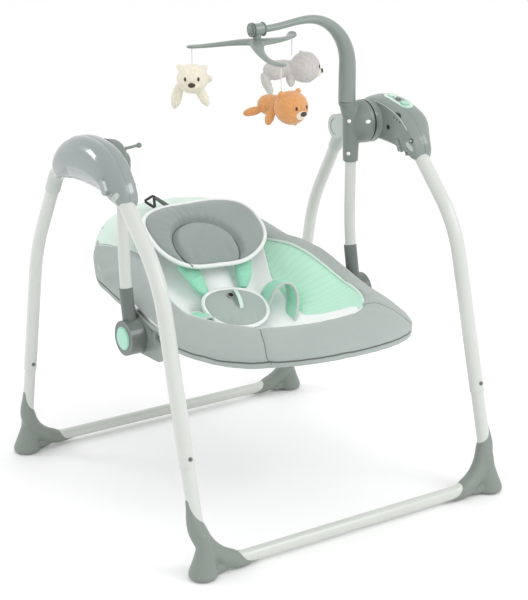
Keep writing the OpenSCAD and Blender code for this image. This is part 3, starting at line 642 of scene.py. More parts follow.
def build_under_cover():
    """Outside of the bucket: one grey cloth from the lower edge of the rim round the bowl."""
    n = 260
    a = loop_angles(n)
    inner, outer = inner_point(a), outer_point(a)
    up = np.array([0, 0, 1.0])
    rows = [lerp(inner, outer, 0.93) - 25 * up, lerp(inner, outer, 0.72) - 28.5 * up,
            lerp(inner, outer, 0.35) - 27 * up]
    rows += [bowl(a, np.full(n, s)) - drop * up
             for s, drop in ((0.96, 21), (0.88, 13), (0.76, 10), (0.6, 9), (0.42, 8.5), (0.24, 8.5),
                             (0.08, 8.5))]
    section = np.array(rows)
    grid = np.stack([curve(section[:, i], 44) for i in range(n)])
    flat = grid.reshape(-1, 3)
    k = np.tile(np.linspace(0, 1, 44), n)
    flat[:, 2] += (wobble(flat, 50, 3.2, 8) + wobble(flat * (1, 0.4, 1), 22, 1.6, 9) - 1.5) * smooth(k / 0.25)
    v, f, uv = sheet(grid, True, False)
    f.append([i * 44 + 43 for i in range(n)])
    o = shown("seat_under_cover", v, f, UNDER_CLOTH, None, uv)
    solid = o.modifiers.new("thick", "SOLIDIFY")
    solid.thickness = 0.0015
    solid.offset = 0
    apply_modifier(o, solid)
    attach(o, "seat")
    for side, word in ((1, "right"), (-1, "left")):
        b = np.linspace(math.radians(285), math.radians(432), 60)
        path = bowl(b, np.full(60, 0.62)) * np.array([side, 1, 1]) - np.array([0, 0, 10.5])
        path[:, 2] += wobble(path, 50, 3.2, 8)
        tube("under_cover_seam_" + word, path, 1.2, GREY_PIPING, "seat", 8)


build_under_cover()

# ---------------------------------------------------------------- pads and straps


def seat_plane(y, z, tilt, bend=0.0, turn=0.0, shift=(0, 0)):
    """Turns flat points (across, along, height) into points on a pad of the seat.
    bend lifts the sides by that much at 100 mm from the middle."""
    t, r = math.radians(tilt), math.radians(turn)

    def place(q):
        q = np.array(q, float)
        across = q[..., 0] * math.cos(r) - q[..., 1] * math.sin(r) + shift[0]
        along = q[..., 0] * math.sin(r) + q[..., 1] * math.cos(r) + shift[1]
        high = q[..., 2] + bend * (q[..., 0] / 100) ** 2
        return np.stack([across, y + along * math.cos(t) - high * math.sin(t),
                         z + along * math.sin(t) + high * math.cos(t)], -1)

    return place


def pad_outline(n, half_w, half_l, power, taper=0.0, dip=0.0):
    """Rounded outline. dip pushes the middle of its lower edge in and out a little."""
    a = np.linspace(0, 2 * math.pi, n, endpoint=False)
    x, y = half_w * spow(np.cos(a), 2 / power), half_l * spow(np.sin(a), 2 / power)
    y += dip * np.clip(-np.sin(a), 0, 1) * np.cos(x / half_w * 5.5 + 1.0)
    return np.stack([x * (1 + taper * y / half_l), y], -1)


def pad(name, outline, thick, place, material, seam=None, folds=None, pressure=4.0, cap=12.0, rings=26):
    """Stuffed pad: two faces joined at the outline, swelled as cloth and held at its seams.
    seam(points) gives how strongly each flat point is sewn through, from 0 to 1, and
    folds(points, radius) how far the cloth stands up in gathers."""
    n = len(outline)
    r = np.linspace(0, 1, rings + 1)[1:] ** 0.85
    flat = np.stack([outline * t for t in r], 0).reshape(-1, 2)
    rad = np.repeat(r, n)
    sewn = seam(flat) if seam else np.zeros(len(flat))
    body = thick / 2 * np.sqrt(np.clip(1 - rad ** 5, 0, 1)) * (1 - 0.85 * sewn)
    top = np.column_stack([flat, body])
    bottom = np.column_stack([flat, -body * 0.7])[: -n]
    verts = np.concatenate([[[0, 0, thick / 2]], top, [[0, 0, -thick * 0.35]], bottom])
    low = 1 + rings * n

    def at(i, k, under):
        return (low + 1 + i * n + k % n) if under and i < rings - 1 else 1 + i * n + k % n

    faces = []
    for under in (False, True):
        centre = low if under else 0
        for k in range(n):
            tri = (centre, at(0, k, under), at(0, k + 1, under))
            faces.append(tri[::-1] if under else tri)
            for i in range(rings - 1):
                quad = (at(i, k, under), at(i + 1, k, under), at(i + 1, k + 1, under), at(i, k + 1, under))
                faces.append(quad[::-1] if under else quad)
    pins = np.concatenate([[0], sewn, [0], sewn[: -n]])
    pins[1 + (rings - 1) * n: 1 + rings * n] = 1
    uv = verts[:, :2].copy()
    o = shown(name, place(verts), faces, material, None, uv)
    inflate(o, pressure, pins, 20, cap, stiff=8.0)
    if folds:
        lift = np.concatenate([[0], folds(flat, rad)])
        co = points_of(o)
        co[: len(lift)] += (place(np.array([[0, 0, 1.0]])) - place(np.array([[0, 0, 0.0]]))) * lift[:, None]
        move_points(o, co)
    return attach(o, "seat")


def piping(name, outline, place, r, material, height=0.0, close=True):
    path = place(np.column_stack([outline, np.full(len(outline), height)]))
    return tube(name, path, r, material, "seat", 10, close)


pillow_place = seat_plane(168, 447, 31, 9)
pillow_edge = pad_outline(176, 124, 85, 2.6, 0.02, 2.5)
INNER_PAD = (-18, -40, 69, 70)  # middle and radii of the pad inside the pillow's ring


def inner_radius(p):
    x, y, rx, ry = INNER_PAD
    return np.sqrt(((p[:, 0] - x) / rx) ** 2 + ((p[:, 1] - y) / ry) ** 2)


def pillow_seam(p):
    return np.exp(-((inner_radius(p) - 1) * 70 / 6) ** 2) * (p[:, 1] > -84)


def pillow_folds(p, rad):
    """Gathers that run out from the seam: deep at the top and at the two lower ends."""
    x, y, _, _ = INNER_PAD
    a = np.arctan2(p[:, 1] - y, p[:, 0] - x)
    away = inner_radius(p) - 1
    near = np.exp(-np.clip(away, 0, 9) / 0.34) * smooth(away / 0.06)
    top = np.exp(-((a - 1.7) / 0.55) ** 2) + 0.35
    waves = np.sin(a * 31 + 1.2 * np.sin(a * 7))
    inside = np.where(away < 0, smooth(-away / 0.1) * smooth((away + 0.75) / 0.4), 0)
    lower = np.exp(-((p[:, 1] + 62) / 26) ** 2)
    creases = np.sin(p[:, 0] / 4.1 + np.sin(p[:, 1] / 15))
    return 1.9 * waves * near * top * (1 - rad ** 9) + 1.3 * creases * inside * lower


pillow = pad("head_pillow", pillow_edge, 34, pillow_place, PAD_CLOTH, pillow_seam, pillow_folds, 5.0, 13)
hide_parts("headrest")
piping("head_pillow_binding", pillow_edge * 1.02, pillow_place, 4.4, PIPING)
a = np.linspace(math.radians(-38), math.radians(218), 90)
x, y, rx, ry = INNER_PAD
inner_seam = np.stack([x + rx * np.cos(a), y + ry * np.sin(a)], -1)
o = piping("head_pillow_seam_cord", inner_seam, pillow_place, 1.5, GREY_PIPING, 3.4, False)

crotch_place = seat_plane(50, 328, 33.7, 4, -10, (-4, -3))
crotch_edge = pad_outline(120, 65, 47, 2.2, 0.05)


def crotch_seam(p):
    return 0.8 * np.exp(-((p[:, 0] - 2) / 4) ** 2) * (p[:, 1] > 2) * (p[:, 1] < 34)


def crotch_folds(p, rad):
    return 0.8 * np.sin(p[:, 0] / 3.2 + np.sin(p[:, 1] / 9)) * smooth((-p[:, 1] - 12) / 18) * (1 - rad ** 8)


crotch = pad("crotch_pad_cover", crotch_edge, 13, crotch_place, CROTCH_CLOTH, crotch_seam, crotch_folds,
             4.0, 8, 18)
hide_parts("crotch_pad")
piping("crotch_pad_binding", crotch_edge * 1.03, crotch_place, 3.9, PIPING)


def band(name, left, right, thick, material, body="seat", bulge=0.0, rows=60, folds=0.0):
    """Flat webbing or a soft strap pad between two edges, given by points along each."""
    left, right = curve(left, rows), curve(right, rows)
    p, across = (left + right) / 2, (right - left) / 2
    half = np.linalg.norm(across, axis=1)
    _, _, _, t = frames_along(p)
    face = np.cross(across, t)
    face /= np.linalg.norm(face, axis=1)[:, None]
    k = 32
    ang = np.linspace(0, 2 * math.pi, k, endpoint=False)
    w = spow(np.cos(ang), 0.35)
    ends = smooth(np.minimum(np.arange(rows), np.arange(rows)[::-1]) / 5) ** 0.5
    rings = []
    for i in range(rows):
        h = thick / 2 * spow(np.sin(ang), 0.6) * (1 + bulge * (1 - w ** 2)) * (0.35 + 0.65 * ends[i])
        h += folds * math.sin(i * 0.55 + math.sin(i * 0.21) * 2) * (1 - w ** 2) * ends[i]
        rings.append(p[i] + w[:, None] * across[i] + h[:, None] * face[i])
    grid = np.array(rings)
    flat = grid.reshape(-1, 3)
    flat += face.repeat(k, 0) * wobble(flat, 18, thick * 0.1, 5)[:, None]
    v, f, uv = sheet(grid, False, True, True)
    uv[:, 1] = np.tile(w, rows) * np.repeat(half, k)
    return shown(name, v, f, material, body, uv)


# shoulder straps: a soft pad that comes out below the pillow, and the webbing under it
PAD_LEFT = [(42, 142, 402), (42, 124, 396), (38, 110, 378), (36, 102, 360), (36, 98, 347)]
PAD_RIGHT = [(80, 140, 401), (80, 122, 392), (72, 106, 374), (62, 97, 358), (50, 92, 346)]
# waist straps: a padded loop that stands up beside the crotch pad
LOOP_NEAR = [(64, 38, 314), (69, 34, 331), (73, 30, 348), (80, 26, 360), (93, 20, 367.5), (105, 12, 364),
             (111, 4, 349), (108, -4, 328), (100, -10, 312), (94, -14, 299)]
LOOP_FAR = [(70, 74, 322), (73, 70, 336), (77, 66, 349), (88, 62, 359), (101, 58, 363), (113, 54, 360),
            (117, 48, 347), (113, 40, 328), (106, 32, 314), (98, 24, 303)]

for side, word in ((1, "right"), (-1, "left")):
    mirror = np.array([side, 1, 1])
    edges = [np.array(PAD_LEFT) * mirror, np.array(PAD_RIGHT) * mirror]
    o = band("shoulder_strap_pad_" + word, edges[0], edges[1], 9, MINT_WEB, bulge=0.8, folds=0.9)
    if side == 1:
        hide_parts("harness")
    webbing = [np.array([(28, 98, 346), (16, 84, 336), (2, 70, 326)]) * mirror,
               np.array([(50, 90, 344), (38, 72, 334), (22, 58, 324)]) * mirror]
    o = band("shoulder_strap_" + word, webbing[0], webbing[1], 2.5, MINT_WEB, rows=30)
    edges = [np.array(LOOP_NEAR, float) * mirror, np.array(LOOP_FAR, float) * mirror]
    if side == -1:  # this one lies nearly flat, tucked beside the crotch pad
        for edge in edges:
            edge[:, 2] = 314 + (edge[:, 2] - 314) * 0.35
            edge[:, 1] -= 6
    o = band("waist_strap_pad_" + word, edges[0], edges[1], 5, MINT_WEB, bulge=0.5, rows=80, folds=0.5)
    for k, (edge, cloth) in enumerate(((edges[0], GREY_WHITE_PIPING), (edges[1], PALE_CLOTH))):
        o = tube("waist_strap_piping_%s_%d" % (word, k), curve(edge, 80), 3.0, cloth, "seat", 10)

# mint strap that passes through the slot of the crotch pad, and its stud
slot_path = np.array([(8, 40, 9), (8, 30, 12), (9, 14, 12.5), (8, -2, 11), (7, -8, 8)])
near, far = [crotch_place(slot_path + (dx, 0, 0)) for dx in (-4, 4)]
band("crotch_strap_tongue", near, far, 2.4, PALE_CLOTH, rows=40)
stud = crotch_place([(-5, 26, 8), (-5, 26, 10.5), (-5, 26, 11.5)])
tube("crotch_pad_stud", stud, [5.2, 5.2, 3.6], BLACK_AND_SHADE, "seat", 24)
ring = np.linspace(0, 2 * math.pi, 24, endpoint=False)
ring = crotch_place(np.stack([-5 + 6 * np.cos(ring), 26 + 6 * np.sin(ring), np.full(24, 9.5)], -1))
tube("crotch_pad_stud_ring", ring, 1.0, STEEL, "seat", 8, True)

# webbing that shows beside the crotch pad
near = [(-66, 44, 319), (-76, 30, 314), (-86, 12, 312)]
far = [(-58, 34, 313), (-66, 20, 308), (-78, 2, 306)]
band("crotch_webbing", near, far, 2.2, DARK_WEB, rows=30)

# webbing with a black ring that hangs over the head end of the rim
near = [(-20, 252, 486), (-36, 262, 500), (-54, 268, 513)]
far = [(-34, 236, 485), (-46, 250, 497), (-62, 260, 511)]
band("hanging_webbing", near, far, 2.5, DARK_WEB, rows=40)
corners = np.array([(-57, 264, 514), (-80, 262, 506), (-62, 251, 492)])
t = np.linspace(0.12, 0.88, 8)[:, None]
path = np.concatenate([lerp(corners[k], corners[(k + 1) % 3], t) for k in range(3)])
tube("webbing_ring", path, 2.8, BLACK_AND_SHADE, "seat", 10, True)

# ---------------------------------------------------------------- toys


def ellipsoid(centre, radii, turn=(0, 0, 0), n=20):
    """Verts and faces of a turned ellipsoid."""
    u = np.linspace(0, math.pi, n)
    v = np.linspace(0, 2 * math.pi, 2 * n, endpoint=False)
    uu, vv = np.meshgrid(u, v, indexing="ij")
    p = np.stack([np.sin(uu) * np.cos(vv), np.sin(uu) * np.sin(vv), np.cos(uu)], -1) * np.array(radii)
    m = np.array(Matrix.Rotation(math.radians(turn[2]), 3, "Z")
                 @ Matrix.Rotation(math.radians(turn[1]), 3, "Y")
                 @ Matrix.Rotation(math.radians(turn[0]), 3, "X"))
    v, f, _ = sheet(p @ m.T + np.array(centre), False, True)
    return v, f


def merged(parts):
    """Several (verts, faces) as one."""
    verts, faces, at = [], [], 0
    for v, f in parts:
        verts.append(v)
        faces += [tuple(i + at for i in q) for q in f]
        at += len(v)
    return np.concatenate(verts), faces


def remesh(o, voxel, smooth_steps=4):
    """Blends overlapping closed pieces of a mesh into one skin."""
    m = o.modifiers.new("remesh", "REMESH")
    m.mode = "VOXEL"
    m.voxel_size = voxel * MM
    m.use_smooth_shade = True
    s = o.modifiers.new("smooth", "SMOOTH")
    s.factor, s.iterations = 0.6, smooth_steps
    apply_modifier(o, m, s)


def roughen(o, size, amount, seed=0):
    """Moves the skin in and out a little, as pile does."""
    co = points_of(o)
    no = np.array([v.normal[:] for v in o.data.vertices])
    move_points(o, co + no * wobble(co, size, amount, seed)[:, None])


TIP = np.array([39, 36, 842])  # middle of the mobile, under the end of the arch
REACH = 122  # from there to each string
ARM_TURN = (143, 23, 257)  # direction of each arm in degrees
ARM_DROP = (9, 3, 22)  # how far each arm falls to its end
KNOT = 4.0  # from the middle of an arm's end down to the top of its string
STRING = (24, 34, 44)  # free length of each string
SEWN_IN = (6, 0, 0)  # and how much of it runs on inside the toy
TOYS = {
    "toy_cream": dict(
        arm=0, turn=-35, plush=CREAM_PLUSH, head=(2, -27, -27), head_r=(29.5, 27.5, 28),
        limbs=[((-28, -18, -61), (10.5, 10, 26), (0, 12, 0)), ((20, -24, -59), (9.5, 9, 24), (0, -28, 0)),
               ((28, 18, -36), (9, 8, 7), (0, 0, 0)), ((-12, 52, -44), (8, 9, 14), (20, 0, 0))],
        ears=[((-22, -22, -6), (7, 5, 5)), ((25, -20, -8), (7, 5, 5))]),
    "toy_grey": dict(
        arm=1, turn=60, plush=GREY_PLUSH, head=(0, -26, -24), head_r=(30.5, 29.5, 30),
        limbs=[((-12, 2, -46), (8, 8, 14), (0, 8, 0)), ((14, 2, -46), (8, 8, 14), (0, -8, 0)),
               ((-14, 49, -53), (10, 9, 23), (-24, 8, 0)), ((13, 46, -40), (9, 8, 15), (-16, -8, 0))],
        ears=[((-19, -20, 0), (6, 4, 6)), ((19, -20, 0), (6, 4, 6))]),
    "toy_orange": dict(
        arm=2, turn=8, plush=ORANGE_PLUSH, head=(0, -27, -26), head_r=(32, 30, 31),
        limbs=[((-22, 6, -44), (8, 9, 17), (10, 14, 0)), ((18, -14, -50), (8, 8, 15), (0, -22, 0)),
               ((-28, 46, -40), (19, 9, 8), (0, -12, -28)), ((14, 50, -40), (8, 12, 9), (0, 0, 0))],
        ears=[((-21, -22, 0), (7, 4, 7)), ((21, -22, 0), (7, 4, 7))]),
}


def build_toy(name, spec):
    """Plush animal that lies on its belly in the air; returns the point it hangs by."""
    k = spec["arm"]
    turn = math.radians(ARM_TURN[k])
    hang = TIP + (REACH * math.cos(turn), REACH * math.sin(turn), -ARM_DROP[k] - KNOT - STRING[k])
    spin = np.array(Matrix.Rotation(math.radians(spec["turn"]), 3, "Z"))

    def world(v):
        return v @ spin.T + hang

    head, r = np.array(spec["head"], float), spec["head_r"]
    parts = [ellipsoid(head, r), ellipsoid((0, 18, -26), (17, 36, 17)),
             ellipsoid((0, 32, -29), (20, 24, 19))]
    parts += [ellipsoid(*limb) for limb in spec["limbs"] + spec["ears"]]
    v, f = merged(parts)
    o = shown(name + "_body", world(v), f, spec["plush"])
    remesh(o, 1.7)
    roughen(o, 5, 0.9, k)
    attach(o, name)
    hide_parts(name)
    face = head + np.array([0, -r[1], -9])
    v, f = ellipsoid(face + np.array([0, 6, 0]), (12, 9, 9.5))
    o = shown(name + "_muzzle", world(v), f, SOFT_WHITE)
    roughen(o, 5, 0.6, k + 4)
    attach(o, name)
    v, f = merged([ellipsoid(face + np.array([0, -3, 2]), (7, 3, 4.6))] + [
        ellipsoid(head + np.array([x, -r[1] + 3.0, 3]), (2.6, 1.8, 4.0)) for x in (-12, 12)])
    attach(shown(name + "_eyes_and_nose", world(v), f, EYE), name)
    return hang


for name, spec in TOYS.items():
    hang = build_toy(name, spec)
    string = STRING[spec["arm"]]
    top = hang + np.array([0, 0, string + 0.4])
    string += SEWN_IN[spec["arm"]]
    path = [top + np.array([0, 0, -t * string]) for t in np.linspace(0, 1, 18)]
    o = tube(name + "_thread", path, 1.0, THREAD, name, 8, up=(1, 0, 0))
    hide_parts(name + "_string")

# ---------------------------------------------------------------- moulded boots

LEG_X = 326  # middle of the legs, and of the housings that they meet in


def loft(rings, cap=True):
    """Verts and faces of a skin over rings (centre, radius, axis) along a path."""
    out = []
    ang = np.linspace(0, 2 * math.pi, 36, endpoint=False)
    for centre, r, axis in rings:
        axis = np.array(axis, float) / np.linalg.norm(axis)
        a = np.cross(axis, (0.0, 1.0, 0.0))
        a /= np.linalg.norm(a)
        b = np.cross(axis, a)
        out.append(np.array(centre, float) + r * (np.cos(ang)[:, None] * a + np.sin(ang)[:, None] * b))
    v, f, _ = sheet(out, False, True, cap)
    return v, f


def boot(tube_r, lean, side):
    """Cowl over the outer side of a floor bend, flaring into a round foot."""
    bend_r = 90
    sleeve = []
    for s in np.linspace(-26, 176, 60):
        arc = math.pi / 2 * bend_r
        if s < 0:
            place, along, away = (LEG_X - bend_r + s, 0, 0), (1, 0, 0), (0, 0, -1)
        elif s > arc:
            place, along, away = (LEG_X, 0, bend_r + s - arc), (0, 0, 1), (1, 0, 0)
        else:
            phi = s / bend_r - math.pi / 2
            place = (LEG_X - bend_r + bend_r * math.cos(phi), 0, bend_r + bend_r * math.sin(phi))
            along, away = (-math.sin(phi), 0, math.cos(phi)), (math.cos(phi), 0, math.sin(phi))
        t = smooth(min(s + 26, 176 - s) / 62)
        r = lerp(6.5, tube_r + 4.5, t)
        off = lerp(tube_r + 1.5 - 6.5, 1.8, t)
        sleeve.append((np.array(place) + off * np.array(away), r, along))
    v, f = loft(sleeve)
    t = math.radians(lean)
    y = v[:, 1] * math.cos(t) - v[:, 2] * math.sin(t)
    z = v[:, 1] * math.sin(t) + v[:, 2] * math.cos(t)
    v = np.stack([v[:, 0], y, z + 17.5], -1)
    foot = [((325, 0, 3), 26, (0, 0, 1)), ((325, 0, 12), 26, (0, 0, 1)),
            ((322, 0.6 * side, 30), 21, (-0.1, 0, 1)), ((320, 2 * side, 52), 15.5, (-0.1, 0, 1)),
            ((324, 5 * side, 80), 10, (0.1, 0, 1))]
    web = [((x, 0, z), r, (-1, 0, 0.1))
           for x, z, r in ((322, 13, 10), (296, 12, 12), (276, 13, 10), (262, 16, 7))]
    return merged([(v, f), loft(foot), loft(web)])


for word, lean, side, tube_r in (("front", -14.6, 1, 12.5), ("rear", 11.2, -1, 11)):
    pair = []
    for mirror in (1, -1):
        v, f = boot(tube_r, lean, side)
        v = v * np.array([mirror, 1, 1]) + np.array([0, -337 * side, 0])
        pair.append((v, f if mirror == 1 else [q[::-1] for q in f]))
    v, f = merged(pair)
    o = shown(word + "_boots", v, f, FOOT)
    remesh(o, 2.4, 5)
    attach(o, "front_frame" if word == "front" else "rear_frame")
    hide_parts(word + "_feet")

# ---------------------------------------------------------------- housings

# outlines of the housings from the side, as (y, z), and the line that they narrow towards
MOTOR_EDGE = [(86, 652), (80, 690), (58, 708), (26, 714), (-6, 711.5), (-36, 704), (-64, 692), (-90, 672),
              (-110, 648), (-117, 624), (-107, 605), (-86, 609), (-58, 619), (-24, 624), (30, 626), (66, 624)]
IDLER_EDGE = [(140, 634), (133, 660), (108, 686), (76, 703), (40, 711), (2, 711), (-34, 705), (-66, 690),
              (-92, 668), (-110, 646), (-117, 624), (-107, 605), (-86, 608), (-58, 618), (-24, 624),
              (30, 626), (88, 622), (126, 616)]
CASE_SPINE = [(-90, 632), (-58, 650), (-18, 661), (32, 664), (60, 657)]
HUB_AXIS = (32, 665)  # (y, z) of the main axis, about which the carriage swings


def edge_and_spine(edge):
    """Smooth closed edge of a housing, the unit way from it to the spine, and how far that is."""
    rim = curve(edge, 220, close=True)
    line = curve(CASE_SPINE, 80)
    near = line[np.linalg.norm(rim[:, None] - line[None], axis=2).argmin(1)]
    way = (near + np.roll(near, 1, 0) + np.roll(near, -1, 0)) / 3 - rim
    reach = np.linalg.norm(way, axis=1)[:, None]
    return rim, way / reach, reach


def housing_skin(edge, layers, front_depth):
    """Closed half of a housing, on the +X side. layers are (x, how far in from the edge), None
    for nearly to the spine. front_depth slims it towards the front leg."""
    rim, way, reach = edge_and_spine(edge)
    grid = []
    for x, inset in layers:
        q = rim + way * np.minimum(reach if inset is None else inset, reach * 0.9)
        slim = lerp(1, front_depth, smooth((-q[:, 0] - 66) / 48))
        grid.append(np.column_stack([LEG_X + (x - LEG_X) * slim, q]))
    v, f, _ = sheet(grid, False, True, True)
    return v, f


def ring_x(x, r, axis=HUB_AXIS, n=72):
    """Points round the line along X through axis (y, z)."""
    a = np.linspace(0, 2 * math.pi, n, endpoint=False)
    return np.stack([np.full(n, x), axis[0] + r * np.cos(a), axis[1] + r * np.sin(a)], -1)


def lathe_x(profile, axis=HUB_AXIS, n=72):
    """Closed solid turned about the line along X through axis, from (x, radius) points."""
    v, f, _ = sheet([ring_x(x, r, axis, n) for x, r in profile], False, True, True)
    return v, f


def prism_x(x0, x1, outline):
    """Closed block with the given (y, z) outline, from x0 to x1."""
    grid = [[(x, y, z) for y, z in outline] for x in (x0, x1)]
    v, f, _ = sheet(grid, False, True, True)
    return v, f


def clean(o):
    """Joins points that coincide and turns the faces outwards."""
    mesh = bmesh.new()
    mesh.from_mesh(o.data)
    bmesh.ops.remove_doubles(mesh, verts=mesh.verts, dist=0.00001)
    bmesh.ops.recalc_face_normals(mesh, faces=mesh.faces)
    mesh.to_mesh(o.data)
    mesh.free()


def carve(o, parts, mirror):
    """Cuts closed solids out of o."""
    v, f = merged(parts)
    cutter = shown("cutter", v * np.array([mirror, 1, 1]), f, GREY)
    clean(cutter)
    m = o.modifiers.new("cut", "BOOLEAN")
    m.operation, m.object, m.solver = "DIFFERENCE", cutter, "EXACT"
    apply_modifier(o, m)
    bpy.data.objects.remove(cutter)


# sector in which the arm of the rear leg turns
SLOT = [(32, 665), (92, 725), (232, 725), (232, 485), (16, 485), (16, 635)]
SCREW_HOLES = [(-29, 661), (-97, 646), (-84, 617)]


def housing(name, node, edge, layers, material, mirror, holes, slim):
    """One shell of a housing, which stands for the node of the frame."""
    v, f = housing_skin(edge, layers, slim)
    o = shown(name, v * np.array([mirror, 1, 1]), f, material)
    clean(o)
    for parts in holes:
        carve(o, parts, mirror)
    sharpen(o, 35)
    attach(o, "front_frame")
    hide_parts(node)
    return o


slot = [prism_x(310.6, 342, SLOT)]
jack_hole = [lathe_x([(349.5, 5.6), (372, 5.6)], (52, 652), 32)]
# layers of the shells: x, and how far in from the edge
lip = [(LEG_X, None), (LEG_X, 8)]
motor_in = lip + [(326, 1.6), (325.2, 1.0), (318, 2.2), (311, 4.6), (305.6, 7.6), (303.4, 9.8), (303, 12.5),
                  (303, None)]
motor_out = lip + [(326, 1.8), (326.8, 1.2), (338, 0), (350, 0.4), (358, 2.6), (363.5, 6.5), (366.4, 11.5),
                   (367.3, 17), (367.4, 22), (367.4, None)]
idler_in = lip + [(326, 1.4), (325.2, 0.8), (316, 0.4), (308, 2), (304.2, 5.5), (303, 10), (303, None)]
idler_out = lip + [(326, 1.4), (326.8, 0.8), (332, 0.6), (338, 2.4), (343.5, 6), (348, 11), (351.6, 17.5),
                   (354.2, 25), (355.8, 34), (356.4, None)]
inner = housing("motor_cover_inner", "motor_case_inner", MOTOR_EDGE, motor_in, GREY, 1, [slot], 0.85)
outer = housing("motor_cover_outer", "motor_case_outer", MOTOR_EDGE, motor_out, GREY, 1,
                [slot, jack_hole], 0.5)
idler_inner = housing("idler_cover_inner", "idler_case_inner", IDLER_EDGE, idler_in, [GLOSS, LIGHT], -1,
                      [slot], 0.85)
idler = housing("idler_cover", "idler_case_outer", IDLER_EDGE, idler_out, [GLOSS, LIGHT], -1, [slot], 0.62)

# round boss between each housing and its hanger hub, and a black ring painted as the shade in the gap there
BOSS = [(289, 30), (289.2, 37), (290.6, 39.4), (293, 40), (300, 40.4), (303.6, 43)]
for side, word, finish, material, slim in ((1, "right", "grey_plastic", GREY, 1),
                                           (-1, "left", "light_plastic", LIGHT, 0.84)):
    v, f = lathe_x([(x, r * slim) for x, r in BOSS])
    o = shown("hub_boss_" + word, v * np.array([side, 1, 1]), f, material)
    sharpen(o, 35)
    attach(o, "front_frame")
    # black ring of painted shade in the gap between the boss and the hub
    o = tube("hub_gap_shade_" + word, ring_x(side * 288.3, 41.4 * slim), 1.3, BLACK_AND_SHADE, "swing_carriage", 8, True,
             up=(1, 0, 0))

# the underside of the idler housing is a light band
for o in (idler, idler_inner):
    for face in o.data.polygons:
        under = face.normal.z < -0.45 and abs(face.center.x) < 0.345 and face.center.z < 0.645
        face.material_index = 1 if under else 0

# bright edge where the top of the motor housing meets its inner face, and the marks on it
rim, way, _ = edge_and_spine(MOTOR_EDGE)
line = rim + way * 8.8
line = line[(line[:, 1] > 664) & (line[:, 0] > -92)]
line = line[np.argsort(line[:, 0])]
path = np.column_stack([np.full(len(line), 304.3), line])
tube("motor_edge_line", curve(path[::4], 120), 0.9, LIGHT, "front_frame", 8)


def stamp(name, on_object, start, way, outline, height, material, body):
    """Thin raised mark on a surface: the outline is laid on it along the direction way."""
    way = Vector(way).normalized()
    side = way.cross(Vector((0, 0, 1)) if abs(way.z) < 0.9 else Vector((0, 1, 0))).normalized()
    up = side.cross(way)
    rows, last = [], on_object.ray_cast(Vector(start) * MM, way)[1]
    for scale, lift in ((1.05, -0.4), (1.0, height), (0.6, height), (0.05, height)):
        row = []
        for p, q in outline:
            origin = Vector(start) + (side * p + up * q) * scale
            hit, place, _, _ = on_object.ray_cast(origin * MM, way)
            last = place if hit else last
            row.append(np.array(last) / MM - np.array(way) * lift)
        rows.append(row)
    v, f, _ = sheet(np.array(rows), False, True, True)
    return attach(shown(name, v, f, material), body)


def oval(rx, ry, n=28, turn=0.0, power=2.0):
    """Outline of an oval, or of a rounded box if power is above 2."""
    a = np.linspace(0, 2 * math.pi, n, endpoint=False)
    x, y = rx * spow(np.cos(a), 2 / power), ry * spow(np.sin(a), 2 / power)
    t = math.radians(turn)
    return np.stack([x * math.cos(t) - y * math.sin(t), x * math.sin(t) + y * math.cos(t)], -1)


bpy.context.view_layer.update()
# black discs painted as the shade inside the screw holes, which are not cut into the housing
for k, (y, z) in enumerate(SCREW_HOLES):
    o = stamp("motor_screw_hole_shade_%d" % k, inner, (290, y, z), (1, 0, 0), oval(4.6, 4.6, 24), 0.4, BLACK_AND_SHADE,
              "front_frame")
for k, (y, z) in enumerate(((-46, 683), (-55, 680), (-64, 677))):
    o = stamp("motor_mark_%d" % k, inner, (295, y, z), (1, 0, 0), oval(1.6, 1.6, 14), 0.4, BLACK_AND_SHADE,
              "front_frame")
for name, on_object, start, outline, height in (
        ("motor_release_plate", inner, (290, -93, 634), oval(11, 4.5, 32, -34, 3), 0.8),
        ("idler_tab", idler, (-400, -97, 628), oval(4.5, 9, 32, -38, 4), 0.7)):
    stamp(name, on_object, start, (1, 0, 0), outline, height, LIGHT, "front_frame")


def on_panel(across, along, high):
    """A point on the control panel, which slopes."""
    t = math.radians(12)
    return np.array([338 + across, -14 + along * math.cos(t) - high * math.sin(t),
                     706 + along * math.sin(t) + high * math.cos(t)])


waves = ((WHITE, "white_plastic"), (MINT, "mint_plastic"), (WHITE, "white_plastic"))
for k, (material, finish) in enumerate(waves):
    t = np.linspace(0, 1, 40)
    path = [on_panel(-11 + 7.5 * k + 3 * math.sin(s * 7 + k), lerp(-8, 34, s), 3.2) for s in t]
    width = 1.5 * np.sin(t * math.pi) + 0.2
    tube("panel_wave_%d" % k, path, width, material, "front_frame", 10, flat=0.35)


def rod(p, q, r0, r1=None, n=40):
    """Closed round bar from p to q."""
    p, q = np.array(p, float), np.array(q, float)
    t = (q - p) / np.linalg.norm(q - p)
    a = np.cross(t, (0, 1, 0) if abs(t[1]) < 0.8 else (1, 0, 0))
    a /= np.linalg.norm(a)
    b = np.cross(t, a)
    ang = np.linspace(0, 2 * math.pi, n, endpoint=False)[:, None]
    grid = [c + r * (np.cos(ang) * a + np.sin(ang) * b) for c, r in ((p, r0), (q, r0 if r1 is None else r1))]
    v, f, _ = sheet(grid, False, True, True)
    return v, f


